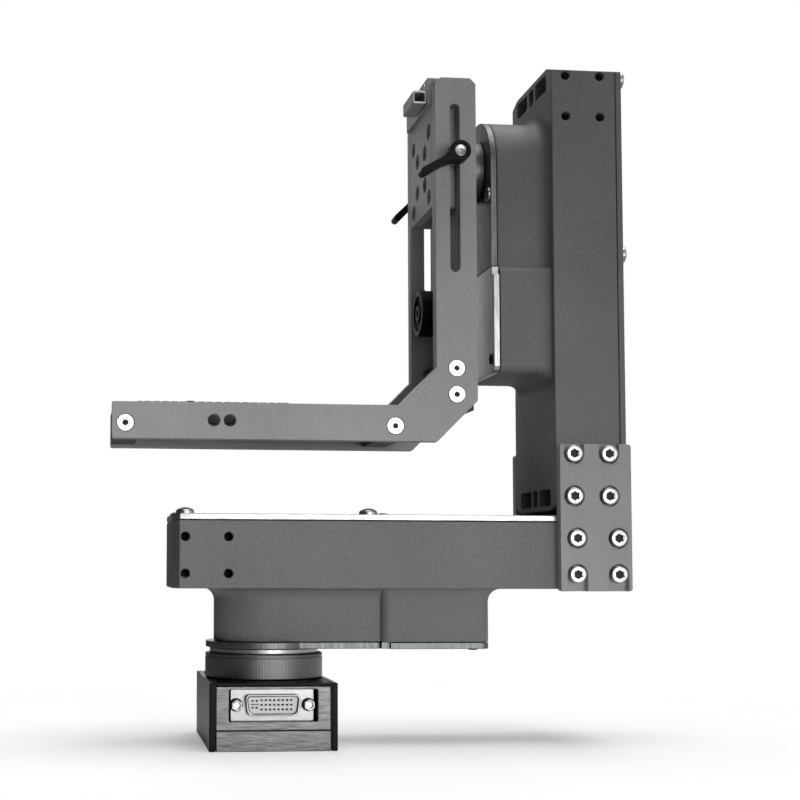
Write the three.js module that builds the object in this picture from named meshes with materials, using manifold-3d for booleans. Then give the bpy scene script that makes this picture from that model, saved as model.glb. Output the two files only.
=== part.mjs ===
// Remote pan and tilt head: a fixed base, a level arm that pans, an upright column and a tilting cradle.
// Millimetres, +Z up. The origin is the middle of the base's underside, on the pan axis.
// +X runs along the arm towards the column, and +Y runs away from the connector side.
import * as THREE from 'three'
import { mergeVertices } from 'three/addons/utils/BufferGeometryUtils.js'
import Module from 'manifold-3d'

const wasm = await Module()
wasm.setup()

// Fits and cutters
const clearance = 0.3
const overrun = 1

// Base block
const baseDepth = 80
const baseHeight = 30.8
const cheekThickness = 3
const floorHeight = 9.2
const topPlateThickness = 1.2
const panelThickness = 5
const panelSetback = 0.6
const windowBesideJackscrew = 3.75
const windowSideBorder = 5.8
const windowHeight = 14.6
const windowTopBorder = 1.4
const mountHoleRadius = 2.7
const mountHoleFromSide = 10.5
const mountHoleFromFront = 10

// Cable connector behind the window
const flangeBesideJackscrew = 2.55
const flangeHeight = 15.6
const flangeThickness = 1.6
const shellWidth = 26
const shellHeight = 10
const shellReach = 3.6
const shellCorner = 2.2
const shellWall = 0.7
const shellPocket = 1.6
const jackscrewSpacing = 33.3
const jackscrewRadius = 2.6
const jackscrewReach = 4.4
const jackscrewBore = 1.3
const jackscrewBoreDepth = 3

// Pan stack between the base and the arm
const collarRadius = 28.2
const collarHeight = 11.6
const panFlangeRadius = 26
const panFlangeThickness = 2

// Drive module, the same for pan and tilt
const moduleLength = 216
const moduleDepth = 65
const housingHeight = 31.5
const lidThickness = 2.8
const lidScrewRadius = 4.3
const lidScrewHeight = 2.9
const lidScrewRim = 1
const lidScrewCrown = 2
const lidScrewFromSide = 4.9
const lidEndScrewFromEnd = 6
const lidFrontScrewFromEnd = 92
const lidRearScrewFromEnd = 110
const wall = 3
const endChamferAlong = 3.1
const endChamferAcross = 8.5
const axisFromEnd = 46
const endBlockLength = 16
const endBossLength = 31
const endBossWall = 8
const bulgeHeight = 24.9
const bulgeRadius = 24.2
const motorRoom = 1.7
const motorZoneHalfDepth = 28
const motorZoneCorner = 4
const bulgeFlare = 6
const motorZoneFlareAcross = 2
const coverThickness = 3
const panRimRadius = 28
const coverNotchLength = 4.4
const coverNotchDepth = 2.4

// Pockets in the inner face at both ends of a module
const pocketLength = 8
const pocketDepth = 6
const pocketFromEnd = 2.6
const pocketWidth = 17.5
const pocketMiddleWidth = 7.4
const pocketRib = 2.7

// Tapped hole pattern on both long sides, at both ends of a module
const holeFromEnd = 5.8
const holeFromJoint = 6.6
const holePitchAlong = 20
const holePitchAcross = 17
const holeFromInnerFace = 15.4
const tappedRadius = 2.4
const tappedDepth = 6.5

// Output shaft, bearings, belt and motor
const hubRadius = 12.5
const hubFlangeRadius = 15.2
const shaftRadius = 10
const shaftBore = 6
const shaftTop = 4
const bearingRadius = 15
const bearingWidth = 6
const bearingGroove = 0.8
const bearingGrooveInner = 11.6
const bearingGrooveOuter = 13.6
const seatWall = 2.7
const seatHeight = 7
const upperSeatDrop = 5
const pulleyRadius = 17.5
const pulleyWidth = 10
const pulleyFromCover = 7.9
const pulleyGroove = 0.5
const pulleyGrooves = 30
const pulleyGrooveShare = 0.45
const beltThickness = 1.4
const beltWidth = 8
const motorPulleyRadius = 6.5
const motorPulleyGrooves = 10
const motorAxisFromOutput = 78.2
const motorSide = 42.3
const motorCorner = 4
const motorLength = 34
const motorDrop = 5.5
const motorShaftRadius = 2.5
const motorShaftLength = 11.4
const motorPilotRadius = 11
const motorPilotHeight = 0.6

// Driver board on its standoffs
const boardFromEndBlock = 9
const boardDepth = 48
const boardThickness = 1.6
const boardFromMotor = 6
const standoffHeight = 8
const standoffRadius = 2.5
const standoffInset = 4
const chipSide = 14
const chipHeight = 2
const plugLength = 20
const plugDepth = 6
const plugHeight = 7

// Slip ring on the pan axis
const slipRingRadius = 10.7
const slipRingHeight = 20
const slipRingStemRadius = 5
const slipRingStemHeight = 12

// Corner joint between arm and column
const columnLift = 2.5
const cornerPlateThickness = 5.5
const cornerPlateDrop = 1
const cornerPlateAboveScrew = 4.6
const cornerPlateCorner = 1.4
const counterboreRadius = 4.85
const counterboreDepth = 3.7
const capHeadRadius = 4
const capHeadHeight = 5
const capSocketRadius = 2.3
const capSocketDepth = 2.6
const capShankRadius = 2.1

// Cradle side plates, in X and Z
const cradleHalfWidth = 30.5
const sidePlateThickness = 7
const cradleGap = 8.7
const cradleLength = 172.9
const cradleBelowAxis = 137.9
const cradleAboveAxis = 37.8
const shelfBarHeight = 17.1
const uprightWidth = 20
const outerDiagonal = 19.7
const innerDiagonal = 18
const topChamfer = 2.8
const barCorner = 1
const slotWidth = 4.8
const slotFromRight = 10.5
const slotDrop = 12.9
const slotLength = 81.5
const sideHoleRadius = 2.9
const sideHoleFromLeft = 47.3
const sideHolePitch = 7.5
const sideHoleAboveBottom = 8.8

// Cross pieces of the cradle
const backPlateThickness = 7
const backPlateDrop = 2.4
const cornerBlockWidth = 14
const cornerBlockDrop = 1.4
const cornerBlockRise = 23.8
const shelfThickness = 5
const shelfRibWidth = 12
const shelfRibDrop = 10.6
const shelfFromRight = 33.5
const padThickness = 1.1
const padFromLeft = 8.1
const padLength = 79.8
const padInset = 3
const padTaper = 5
const padTip = 0.4
const pinFromLeft = 38.4
const pinRadius = 2.35
const pinHeight = 3.6
const pinChamfer = 0.5

// Countersunk screws through the side plates
const sinkHeadRadius = 4
const sinkLandHeight = 0.6
const sinkConeHeight = 2.2
const sinkShankRadius = 2
const sinkLength = 15
const sinkSocketRadius = 1.25
const sinkSocketDepth = 1.2
const cornerScrewFromRight = 10.1
const cornerScrewUpperRise = 18
const cornerScrewLowerRise = 5.5
const shelfScrewAboveBottom = 7.2
const shelfScrewFromEnd = 6.3

// Camera screw under the shelf
const cameraScrewFromLeft = 75.9
const cameraScrewRadius = 3.1
const thumbwheelRadius = 10.5
const thumbwheelHeight = 7
const thumbwheelChamfer = 0.8
const cameraScrewProud = 0.8

// Round knob low on the back plate
const knobAboveShelf = 49
const knobRadius = 11.4
const knobThickness = 8
const knobProud = 2.1
const knobStudRadius = 4.6
const knobRingRadius = 8.6
const knobRingDepth = 0.9
const knobBossRadius = 4.2
const knobSocketRadius = 2
const knobSocketDepth = 3
const knobChamfer = 0.7

// Carriage that slides between the side plates
const carriageAboveCradle = 2
const carriageHeight = 63.4
const carriageThickness = 4
const carriageFlangeThickness = 4
const carriageFlangeReach = 11.6
const carriageFlangeDrop = 9.4
const carriageLipHeight = 13.4
const carriageLipProud = 2
const carriageHoleRadius = 3.8
const clampDrop = 38.9
const innerHoleY = 8
const innerHoleRise = 8
const outerHoleY = 16.5
const outerHoleRise = 16.2
const barWidth = 22.3
const barFromSidePlate = 0.8
const barReach = 6.6
const barHeight = 6.2
const barWall = 0.9
const barHollow = 16
const barLift = 0.9

// Clamp levers
const clampStudRadius = 2.1
const clampCollarRadius = 3.6
const clampCollarRoot = 4.3
const clampCollarLength = 3
const leverEyeRadius = 5
const leverThickness = 8.9
const leverLength = 21.6
const leverTipRadius = 1.8
const leverNeckShare = 0.9
const leverSocketRadius = 2.8
const leverSocketDepth = 1
const frontLeverAngle = 210.5
const rearLeverAngle = 225

// Facets of a full circle
const coarse = 8
const medium = 12
const snug = 16
const fine = 28
const bulgeArcSteps = 12
const filletSteps = 3
const beltArcSteps = 20

const wholeTurn = Math.PI * 2
const quarterTurn = Math.PI / 2
const degree = Math.PI / 180

// Corners of a solid closer than this are one corner
const mergeTolerance = 1e-5

// Levels and places that follow from the sizes above
const sideY = moduleDepth / 2
const bulgeTotal = bulgeHeight + clearance + coverThickness
const moduleStart = -axisFromEnd
const endX = moduleLength - axisFromEnd
const motorHalf = motorSide / 2
const gearZoneReach = motorAxisFromOutput - motorHalf - motorRoom
const motorZoneStart = gearZoneReach - wall
const motorZoneReach = motorAxisFromOutput + motorHalf + motorRoom + wall
const collarBottom = baseHeight + clearance
const collarTop = collarBottom + collarHeight
const panFlangeBottom = collarTop + clearance
const panCoverFace = panFlangeBottom + panFlangeThickness + clearance
const armInnerZ = panCoverFace + bulgeTotal
const lidBottom = housingHeight + clearance
const armLidTopZ = armInnerZ + lidBottom + lidThickness
const columnBottomZ = armLidTopZ + columnLift
const columnTopZ = columnBottomZ + moduleLength
const tiltAxisZ = columnTopZ - axisFromEnd
const columnInnerFaceX = endX - lidBottom - lidThickness
const tiltCoverFaceX = columnInnerFaceX - bulgeTotal
const cradleRightX = tiltCoverFaceX - cradleGap
const cradleLeftX = cradleRightX - cradleLength
const shelfRightX = cradleRightX - shelfFromRight
const padLeftX = cradleLeftX + padFromLeft
const padRightX = padLeftX + padLength
const pinX = cradleLeftX + pinFromLeft
const cameraScrewX = cradleLeftX + cameraScrewFromLeft
const insideHalf = cradleHalfWidth - sidePlateThickness - clearance
const uprightLeftX = cradleRightX - uprightWidth
const slotX = cradleRightX - slotFromRight
const cradleBottomZ = tiltAxisZ - cradleBelowAxis
const cradleTopZ = tiltAxisZ + cradleAboveAxis
const shelfTopZ = cradleBottomZ + shelfBarHeight
const slotTopZ = cradleTopZ - slotDrop
const slotBottomZ = slotTopZ - slotLength
const cornerBlockBottomZ = shelfTopZ - cornerBlockDrop
const cornerBlockTopZ = shelfTopZ + cornerBlockRise
const knobZ = shelfTopZ + knobAboveShelf
const carriageTopZ = cradleTopZ + carriageAboveCradle
const carriageBottomZ = carriageTopZ - carriageHeight
const clampZ = cradleTopZ - clampDrop
const panHubReach = panCoverFace - collarBottom
const tiltHubReach = tiltCoverFaceX - cradleRightX - clearance

function toSolid(geometry) {
  const plain = geometry.index ? geometry.toNonIndexed() : geometry
  const bare = new THREE.BufferGeometry()
  bare.setAttribute('position', plain.getAttribute('position'))
  const merged = mergeVertices(bare, mergeTolerance)
  return new wasm.Manifold(new wasm.Mesh({
    numProp: 3,
    vertProperties: new Float32Array(merged.getAttribute('position').array),
    triVerts: new Uint32Array(merged.index.array),
  }))
}

function toGeometry(solid) {
  const mesh = solid.getMesh()
  const geometry = new THREE.BufferGeometry()
  geometry.setAttribute('position', new THREE.BufferAttribute(new Float32Array(mesh.vertProperties), 3))
  geometry.setIndex(new THREE.BufferAttribute(new Uint32Array(mesh.triVerts), 1))
  geometry.computeVertexNormals()
  return geometry
}

function block(x, y, z) {
  const geometry = new THREE.BoxGeometry(x[1] - x[0], y[1] - y[0], z[1] - z[0])
  geometry.translate((x[0] + x[1]) / 2, (y[0] + y[1]) / 2, (z[0] + z[1]) / 2)
  return toSolid(geometry)
}

const swapToX = new THREE.Matrix4().set(0, 0, 1, 0, 1, 0, 0, 0, 0, 1, 0, 0, 0, 0, 0, 1)
const swapToY = swapToX.clone().invert()

// Turns a shape made along +Z so that it runs along the named axis
function turnTo(axis, geometry) {
  if (axis === 'x') geometry.applyMatrix4(swapToX)
  if (axis === 'y') geometry.applyMatrix4(swapToY)
  return geometry
}

// A turned piece: pairs of radius and height, from the axis round to the axis, or closed on itself
function turned(profile, facets, axis, centre) {
  const points = profile.map(([radius, height]) => new THREE.Vector2(radius, height))
  const geometry = new THREE.LatheGeometry(points, facets)
  geometry.rotateX(quarterTurn)
  return toSolid(turnTo(axis, geometry).translate(...centre))
}

function rod(radius, from, to, facets, axis = 'z', centre = [0, 0, 0]) {
  return turned([[0, from], [radius, from], [radius, to], [0, to]], facets, axis, centre)
}

function ring(inner, outer, from, to, facets, axis = 'z', centre = [0, 0, 0]) {
  const profile = [[inner, from], [outer, from], [outer, to], [inner, to], [inner, from]]
  return turned(profile, facets, axis, centre)
}

// A flat outline of [a, b] pairs, extruded between two levels. Plane xy rises in Z, and xz runs in Y.
function slab(outline, from, to, plane = 'xy') {
  const shape = new THREE.Shape(outline.map(([a, b]) => new THREE.Vector2(a, b)))
  const geometry = new THREE.ExtrudeGeometry(shape, { depth: to - from, bevelEnabled: false })
  if (plane === 'xy') geometry.translate(0, 0, from)
  if (plane === 'xz') geometry.rotateX(quarterTurn).translate(0, to, 0)
  return toSolid(geometry)
}

function arc(centre, radius, fromDegrees, toDegrees, steps) {
  return Array.from({ length: steps + 1 }, (_, i) => {
    const angle = (fromDegrees + ((toDegrees - fromDegrees) * i) / steps) * degree
    return [centre[0] + radius * Math.cos(angle), centre[1] + radius * Math.sin(angle)]
  })
}

function roundedRectangle(a, b, corner, steps) {
  return [
    ...arc([a[1] - corner, b[0] + corner], corner, -90, 0, steps),
    ...arc([a[1] - corner, b[1] - corner], corner, 0, 90, steps),
    ...arc([a[0] + corner, b[1] - corner], corner, 90, 180, steps),
    ...arc([a[0] + corner, b[0] + corner], corner, 180, 270, steps),
  ]
}

// Mirrors a pair of levels measured outwards from Y = 0 to the front (-1) or the rear (1)
function outward(side, from, to) {
  return side < 0 ? [-to, -from] : [from, to]
}

function finish(colour, roughness, metalness) {
  return new THREE.MeshStandardMaterial({ color: colour, roughness, metalness })
}

const finishes = {
  paint: finish('#55585a', 0.55, 0.3),
  darkPaint: finish('#303335', 0.6, 0.3),
  black: finish('#141516', 0.5, 0.2),
  brushed: finish('#6f7375', 0.45, 0.7),
  bright: finish('#c9cbcc', 0.3, 0.9),
  steel: finish('#dcdddd', 0.25, 1),
  rubber: finish('#161616', 0.9, 0),
  plastic: finish('#1b1c1e', 0.5, 0),
  board: finish('#1d5a38', 0.5, 0),
  bearing: finish('#b9bcbe', 0.3, 1),
}

const head = new THREE.Group()

function add(name, solid, material, group = head) {
  const mesh = new THREE.Mesh(toGeometry(solid), finishes[material])
  mesh.name = name
  group.add(mesh)
}

const windowHalf = jackscrewSpacing / 2 + windowBesideJackscrew
const flangeHalf = jackscrewSpacing / 2 + flangeBesideJackscrew
const betweenCheeks = windowHalf + windowSideBorder
const halfX = betweenCheeks + clearance + cheekThickness
const halfY = baseDepth / 2
const mountHoleX = halfX - mountHoleFromSide
const mountHoleY = halfY - mountHoleFromFront

function makeBaseShell() {
  const height = [0, baseHeight]
  const depth = [-halfY, halfY]
  add('base_left_cheek', block([-halfX, -halfX + cheekThickness], depth, height), 'black')
  add('base_right_cheek', block([halfX - cheekThickness, halfX], depth, height), 'black')
  let floor = block([-betweenCheeks, betweenCheeks], depth, [0, floorHeight])
  for (const x of [-mountHoleX, mountHoleX]) {
    for (const y of [-mountHoleY, mountHoleY]) {
      const hole = rod(mountHoleRadius, -overrun, floorHeight + overrun, coarse, 'z', [x, y, 0])
      floor = floor.subtract(hole)
    }
  }
  add('base_floor', floor, 'brushed')
  const topZ = [baseHeight - topPlateThickness, baseHeight]
  const topPlate = block([-betweenCheeks, betweenCheeks], depth, topZ)
  const cableHole = rod(shaftBore, topZ[0] - overrun, topZ[1] + overrun, medium)
  add('base_top_plate', topPlate.subtract(cableHole), 'black')
}

const panelFront = -halfY + panelSetback
const panelZ = [floorHeight + clearance, baseHeight - topPlateThickness - clearance]
const windowTop = panelZ[1] - windowTopBorder
const windowMiddle = windowTop - windowHeight / 2

function makeBasePanels() {
  const across = [-betweenCheeks, betweenCheeks]
  const plain = block(across, [panelFront, panelFront + panelThickness], panelZ)
  const opening = block(
    [-windowHalf, windowHalf],
    [panelFront - overrun, panelFront + panelThickness + overrun],
    [windowTop - windowHeight, windowTop],
  )
  add('connector_panel', plain.subtract(opening), 'brushed')
  const rearY = [-panelFront - panelThickness, -panelFront]
  add('rear_panel', block(across, rearY, panelZ), 'brushed')
}

// The connector's flange, a rounded shell standing on it, and the contact block inside the shell
function makeConnector() {
  const back = panelFront + panelThickness + clearance
  const front = back - shellReach
  const half = shellWidth / 2
  const tall = shellHeight / 2
  const flange = block(
    [-flangeHalf, flangeHalf],
    [back, back + flangeThickness],
    [windowMiddle - flangeHeight / 2, windowMiddle + flangeHeight / 2],
  )
  const outline = (inset) => {
    const across = [-half + inset, half - inset]
    const up = [windowMiddle - tall + inset, windowMiddle + tall - inset]
    return roundedRectangle(across, up, shellCorner - inset, 3)
  }
  const shell = slab(outline(0), front, back + flangeThickness / 2, 'xz')
  const pocket = slab(outline(shellWall), front - overrun, front + shellPocket, 'xz')
  let connector = flange.add(shell).subtract(pocket)
  for (const side of [-1, 1]) {
    const centre = [(side * jackscrewSpacing) / 2, 0, windowMiddle]
    const through = [back - overrun, back + flangeThickness + overrun]
    connector = connector.subtract(rod(jackscrewBore + clearance, ...through, coarse, 'y', centre))
    const tip = back - jackscrewReach
    const hex = ring(jackscrewBore, jackscrewRadius, tip, back - clearance, 6, 'y', centre)
    const plug = rod(jackscrewBore, tip + jackscrewBoreDepth, back + flangeThickness, 6, 'y', centre)
    const sideName = side < 0 ? 'left' : 'right'
    add(`connector_jackscrew_${sideName}`, hex.add(plug), 'steel')
  }
  add('cable_connector', connector, 'bright')
}

function makePanStack() {
  const bore = hubFlangeRadius + clearance
  const collar = ring(bore, collarRadius, collarBottom, collarTop, fine)
  add('pan_collar', collar, 'brushed')
  const flangeTop = panFlangeBottom + panFlangeThickness
  add('pan_flange', ring(bore, panFlangeRadius, panFlangeBottom, flangeTop, fine), 'bright')
}

// A module is drawn with its length along x, its depth along y, its inner face at z = 0
// and its output axis at x = 0. The bulge hangs below the inner face.
function modulePlan(inset = 0) {
  const along = endChamferAlong
  const across = sideY - endChamferAcross
  const side = sideY - inset
  const a = moduleStart + inset
  const b = endX - inset
  return [[a, -across], [a + along, -side], [b - along, -side], [b, -across],
    [b, across], [b - along, side], [a + along, side], [a, across]]
}

// The bulge's two plans, each with the direction in which it flares out at every point
function gearZonePlan(radius, reach = gearZoneReach) {
  const round = arc([0, 0], radius, 90, 270, bulgeArcSteps)
  return [...round, [reach, -radius], [reach, radius]]
}

function motorZonePlan(inset) {
  const across = [-motorZoneHalfDepth + inset, motorZoneHalfDepth - inset]
  const along = [motorZoneStart + inset, motorZoneReach - inset]
  return roundedRectangle(along, across, motorZoneCorner - inset, 3)
}

// Stacks plans that grow towards the inner face as a concave fillet does
function flared(planAt, growth, levels) {
  const rings = levels.map(([level, share]) => planAt(share * growth).map(([x, y]) => [x, y, level]))
  const count = rings[0].length
  const positions = rings.flat(2)
  const index = []
  for (let k = 0; k + 1 < rings.length; k += 1) {
    for (let i = 0; i < count; i += 1) {
      const j = (i + 1) % count
      const [a, b, c, d] = [k * count + i, k * count + j, (k + 1) * count + i, (k + 1) * count + j]
      index.push(a, b, d, a, d, c)
    }
  }
  const last = (rings.length - 1) * count
  const flat = THREE.ShapeUtils.triangulateShape(rings[0].map(([x, y]) => new THREE.Vector2(x, y)), [])
  for (const [a, b, c] of flat) {
    index.push(c, b, a)
    index.push(last + a, last + b, last + c)
  }
  const geometry = new THREE.BufferGeometry()
  geometry.setAttribute('position', new THREE.Float32BufferAttribute(positions, 3))
  geometry.setIndex(index)
  return toSolid(geometry)
}

function filletLevels(depth, radius, steps, top) {
  const levels = [[-depth, 0]]
  for (let i = 0; i <= steps; i += 1) {
    const angle = (i / steps) * quarterTurn
    levels.push([-radius + radius * Math.sin(angle), 1 - Math.cos(angle)])
  }
  levels.push([top, 1])
  return levels
}

function growMotorZone(growth) {
  const acrossShare = motorZoneFlareAcross / bulgeFlare
  return motorZonePlan(0).map(([x, y]) => {
    const along = x > motorAxisFromOutput ? x + growth : x
    return [along, y + Math.sign(y) * growth * acrossShare]
  })
}

function makeBulge() {
  const levels = filletLevels(bulgeHeight, bulgeFlare, filletSteps, wall)
  const gearZone = flared((growth) => gearZonePlan(bulgeRadius + growth), bulgeFlare, levels)
  const motorZone = flared(growMotorZone, bulgeFlare, levels)
  const keep = block([moduleStart, endX], [-sideY, sideY], [-bulgeHeight - overrun, wall + overrun])
  return gearZone.add(motorZone).intersect(keep)
}

function makePocketCutters() {
  const sideStart = pocketMiddleWidth / 2 + pocketRib
  const bands = [
    [-sideStart - pocketWidth, -sideStart],
    [-pocketMiddleWidth / 2, pocketMiddleWidth / 2],
    [sideStart, sideStart + pocketWidth],
  ]
  const starts = [moduleStart + pocketFromEnd, endX - pocketFromEnd - pocketLength]
  return starts.flatMap((start) => bands.map(
    (band) => block([start, start + pocketLength], band, [-overrun, pocketDepth])))
}

// The places of the tapped holes along and up a module's side, for one of its ends
function holePlaces(atFarEnd) {
  const first = atFarEnd ? endX - holeFromJoint : moduleStart + holeFromEnd
  const step = atFarEnd ? -holePitchAlong : holePitchAlong
  const rise = holePitchAcross / 2
  return [0, 1].flatMap((i) => [-rise, rise].map((up) => [first + i * step, holeFromInnerFace + up]))
}

function makeTappedHoles() {
  const cutters = []
  for (const atFarEnd of [false, true]) {
    for (const [x, z] of holePlaces(atFarEnd)) {
      for (const side of [-1, 1]) {
        const from = side < 0 ? -sideY - overrun : sideY - tappedDepth
        cutters.push(rod(tappedRadius, from, from + tappedDepth + overrun, coarse, 'y', [x, 0, z]))
      }
    }
  }
  return cutters
}

function makeHousing() {
  let housing = slab(modulePlan(), 0, housingHeight).add(makeBulge())
  const inside = sideY - wall
  const bossInside = sideY - endBossWall
  const top = housingHeight + overrun
  const wide = [moduleStart + endBossLength, endX - endBossLength]
  const long = [moduleStart + endBlockLength, endX - endBlockLength]
  const wideCavity = block(wide, [-inside, inside], [wall, top])
  const longCavity = block(long, [-bossInside, bossInside], [wall, top])
  const below = -bulgeHeight - overrun
  const gearRoom = slab(gearZonePlan(bulgeRadius - wall), below, 0)
  const motorRoom = slab(motorZonePlan(wall), below, 0)
  const motorHole = motorHalf + clearance
  const alongMotor = [motorAxisFromOutput - motorHole, motorAxisFromOutput + motorHole]
  const motorOpening = block(alongMotor, [-motorHole, motorHole], [-overrun, wall + overrun])
  const rooms = [wideCavity, longCavity, gearRoom, motorRoom, motorOpening]
  for (const room of rooms) housing = housing.subtract(room)
  const seatOuter = bearingRadius + clearance + seatWall
  const seatThrough = [-upperSeatDrop - overrun, wall + overrun]
  housing = housing.add(rod(seatOuter, -upperSeatDrop, wall / 2, fine))
  housing = housing.subtract(rod(bearingRadius + clearance, ...seatThrough, fine))
  for (const cutter of [...makePocketCutters(), ...makeTappedHoles()]) housing = housing.subtract(cutter)
  return housing
}

// The pan module's gear cover has a round rim that stands proud of the bulge
function makeGearCover(rimRadius) {
  const top = -bulgeHeight - clearance
  const face = top - coverThickness
  const strip = slab(gearZonePlan(bulgeRadius, motorZoneStart - clearance), face, top)
  const seat = rod(bearingRadius + clearance + seatWall, top - coverThickness / 2, top + seatHeight, fine)
  const cover = strip.add(rod(rimRadius, face, top, fine)).add(seat)
  const bearingRoom = rod(bearingRadius + clearance, top, top + seatHeight + overrun, fine)
  const hubHole = rod(hubRadius + clearance, face - overrun, top + overrun, fine)
  return cover.subtract(bearingRoom).subtract(hubHole)
}

function makeMotorCover() {
  const top = -bulgeHeight - clearance
  const face = top - coverThickness
  const along = [motorZoneStart - overrun, motorZoneStart + coverNotchLength]
  const across = [-sideY, -motorZoneHalfDepth + coverNotchDepth]
  const notch = block(along, across, [face - overrun, top + overrun])
  return slab(motorZonePlan(0), face, top).subtract(notch)
}

function makeBearing(from) {
  const inner = shaftRadius + clearance
  const outer = bearingRadius
  const [a, b, depth] = [bearingGrooveInner, bearingGrooveOuter, bearingGroove]
  const to = from + bearingWidth
  return turned([
    [inner, from], [a, from], [a, from + depth], [b, from + depth], [b, from], [outer, from],
    [outer, to], [b, to], [b, to - depth], [a, to - depth], [a, to], [inner, to], [inner, from],
  ], snug, 'z', [0, 0, 0])
}

function makeShaft(hubReach) {
  const top = -bulgeHeight - clearance
  const shoulder = top - coverThickness - clearance
  const end = shoulder + clearance - hubReach
  return turned([
    [shaftBore, end], [hubFlangeRadius, end], [hubFlangeRadius, shoulder], [hubRadius, shoulder],
    [hubRadius, top], [shaftRadius, top], [shaftRadius, shaftTop], [shaftBore, shaftTop], [shaftBore, end],
  ], fine, 'z', [0, 0, 0])
}

// A pulley with shallow tooth gaps all round
function makePulley(radius, bore, grooves, axisX) {
  const from = -bulgeHeight + pulleyFromCover
  const step = wholeTurn / grooves
  const outline = []
  for (let i = 0; i < grooves; i += 1) {
    const land = step * (1 - pulleyGrooveShare)
    const low = radius - pulleyGroove
    for (const [turn, r] of [[0, radius], [land, radius], [land, low], [step, low]]) {
      const angle = i * step + turn
      outline.push([axisX + r * Math.cos(angle), r * Math.sin(angle)])
    }
  }
  const body = slab(outline, from, from + pulleyWidth)
  return body.subtract(rod(bore, from - overrun, from + pulleyWidth + overrun, snug, 'z', [axisX, 0, 0]))
}

// The belt's outline: two arcs joined by straight runs
function beltPlan(offset) {
  const big = pulleyRadius + clearance + offset
  const small = motorPulleyRadius + clearance + offset
  const lean = Math.acos((big - small) / motorAxisFromOutput) / degree
  return [
    ...arc([0, 0], big, lean, 360 - lean, beltArcSteps),
    ...arc([motorAxisFromOutput, 0], small, -lean, lean, 8),
  ]
}

function makeBelt() {
  const from = -bulgeHeight + pulleyFromCover + (pulleyWidth - beltWidth) / 2
  const outer = slab(beltPlan(beltThickness), from, from + beltWidth)
  return outer.subtract(slab(beltPlan(0), from - overrun, from + beltWidth + overrun))
}

function makeMotor() {
  const centre = [motorAxisFromOutput, 0, 0]
  const along = [motorAxisFromOutput - motorHalf, motorAxisFromOutput + motorHalf]
  const plan = roundedRectangle(along, [-motorHalf, motorHalf], motorCorner, 2)
  const body = slab(plan, -motorDrop, motorLength - motorDrop)
  const pilot = rod(motorPilotRadius, -motorDrop - motorPilotHeight, 0, medium, 'z', centre)
  const shaft = rod(motorShaftRadius, -motorDrop - motorShaftLength, 0, coarse, 'z', centre)
  return body.add(pilot).add(shaft)
}

function makeBoard() {
  const start = motorAxisFromOutput + motorHalf + boardFromMotor
  const end = endX - endBlockLength - boardFromEndBlock
  const half = boardDepth / 2
  const feet = wall + clearance
  const under = feet + standoffHeight
  const top = under + boardThickness
  let board = block([start, end], [-half, half], [under, top])
  for (const x of [start + standoffInset, end - standoffInset]) {
    for (const y of [-half + standoffInset, half - standoffInset]) {
      board = board.add(rod(standoffRadius, feet, under + boardThickness / 2, coarse, 'z', [x, y, 0]))
    }
  }
  const middle = (start + end) / 2
  const chipHalf = chipSide / 2
  const chipAlong = [middle - chipHalf, middle + chipHalf]
  const chip = block(chipAlong, [-chipHalf, chipHalf], [under, top + chipHeight])
  const plugAlong = [middle - plugLength / 2, middle + plugLength / 2]
  const plug = block(plugAlong, [half - plugDepth, half], [under, top + plugHeight])
  return board.add(chip).add(plug)
}

function makeSlipRing() {
  const from = shaftTop + clearance
  const stem = rod(slipRingStemRadius, from - slipRingStemHeight, from + slipRingHeight / 2, medium)
  return rod(slipRingRadius, from, from + slipRingHeight, medium).add(stem)
}

// The lid and its four button-head screws: two at the free end, and two staggered near the middle
function makeLid() {
  const top = lidBottom + lidThickness
  let lid = slab(modulePlan(), lidBottom, top)
  const places = [
    [lidEndScrewFromEnd, -1], [lidEndScrewFromEnd, 1], [lidFrontScrewFromEnd, -1], [lidRearScrewFromEnd, 1],
  ]
  for (const [fromEnd, side] of places) {
    const profile = [
      [0, lidBottom], [lidScrewRadius, lidBottom], [lidScrewRadius, top + lidScrewRim],
      [lidScrewCrown, top + lidScrewHeight], [0, top + lidScrewHeight],
    ]
    const centre = [moduleStart + fromEnd, side * (sideY - lidScrewFromSide), 0]
    lid = lid.add(turned(profile, medium, 'z', centre))
  }
  return lid
}

// Adds one drive module to a group. Only the pan module has a slip ring.
function makeModule(prefix, group, hubReach, rimRadius, hasSlipRing) {
  const place = (name, solid, material) => add(`${prefix}_${name}`, solid, material, group)
  place('housing', makeHousing(), 'paint')
  place('lid', makeLid(), 'bright')
  place('gear_cover', makeGearCover(rimRadius), 'bright')
  place('motor_cover', makeMotorCover(), 'bright')
  place('outer_bearing', makeBearing(-bulgeHeight), 'bearing')
  place('inner_bearing', makeBearing(-upperSeatDrop + clearance), 'bearing')
  place('output_shaft', makeShaft(hubReach), 'steel')
  place('output_pulley', makePulley(pulleyRadius, shaftRadius + clearance, pulleyGrooves, 0), 'brushed')
  place('belt', makeBelt(), 'rubber')
  place('motor', makeMotor(), 'black')
  const motorBore = motorShaftRadius + clearance
  const motorPulley = makePulley(motorPulleyRadius, motorBore, motorPulleyGrooves, motorAxisFromOutput)
  place('motor_pulley', motorPulley, 'brushed')
  place('driver_board', makeBoard(), 'board')
  if (hasSlipRing) add('slip_ring', makeSlipRing(), 'plastic', group)
}

function makeModules() {
  const arm = new THREE.Group()
  arm.position.set(0, 0, armInnerZ)
  makeModule('pan', arm, panHubReach, panRimRadius, true)
  head.add(arm)
  const column = new THREE.Group()
  column.position.set(columnInnerFaceX, 0, tiltAxisZ)
  column.rotation.y = quarterTurn
  makeModule('tilt', column, tiltHubReach, bulgeRadius, false)
  head.add(column)
}

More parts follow.
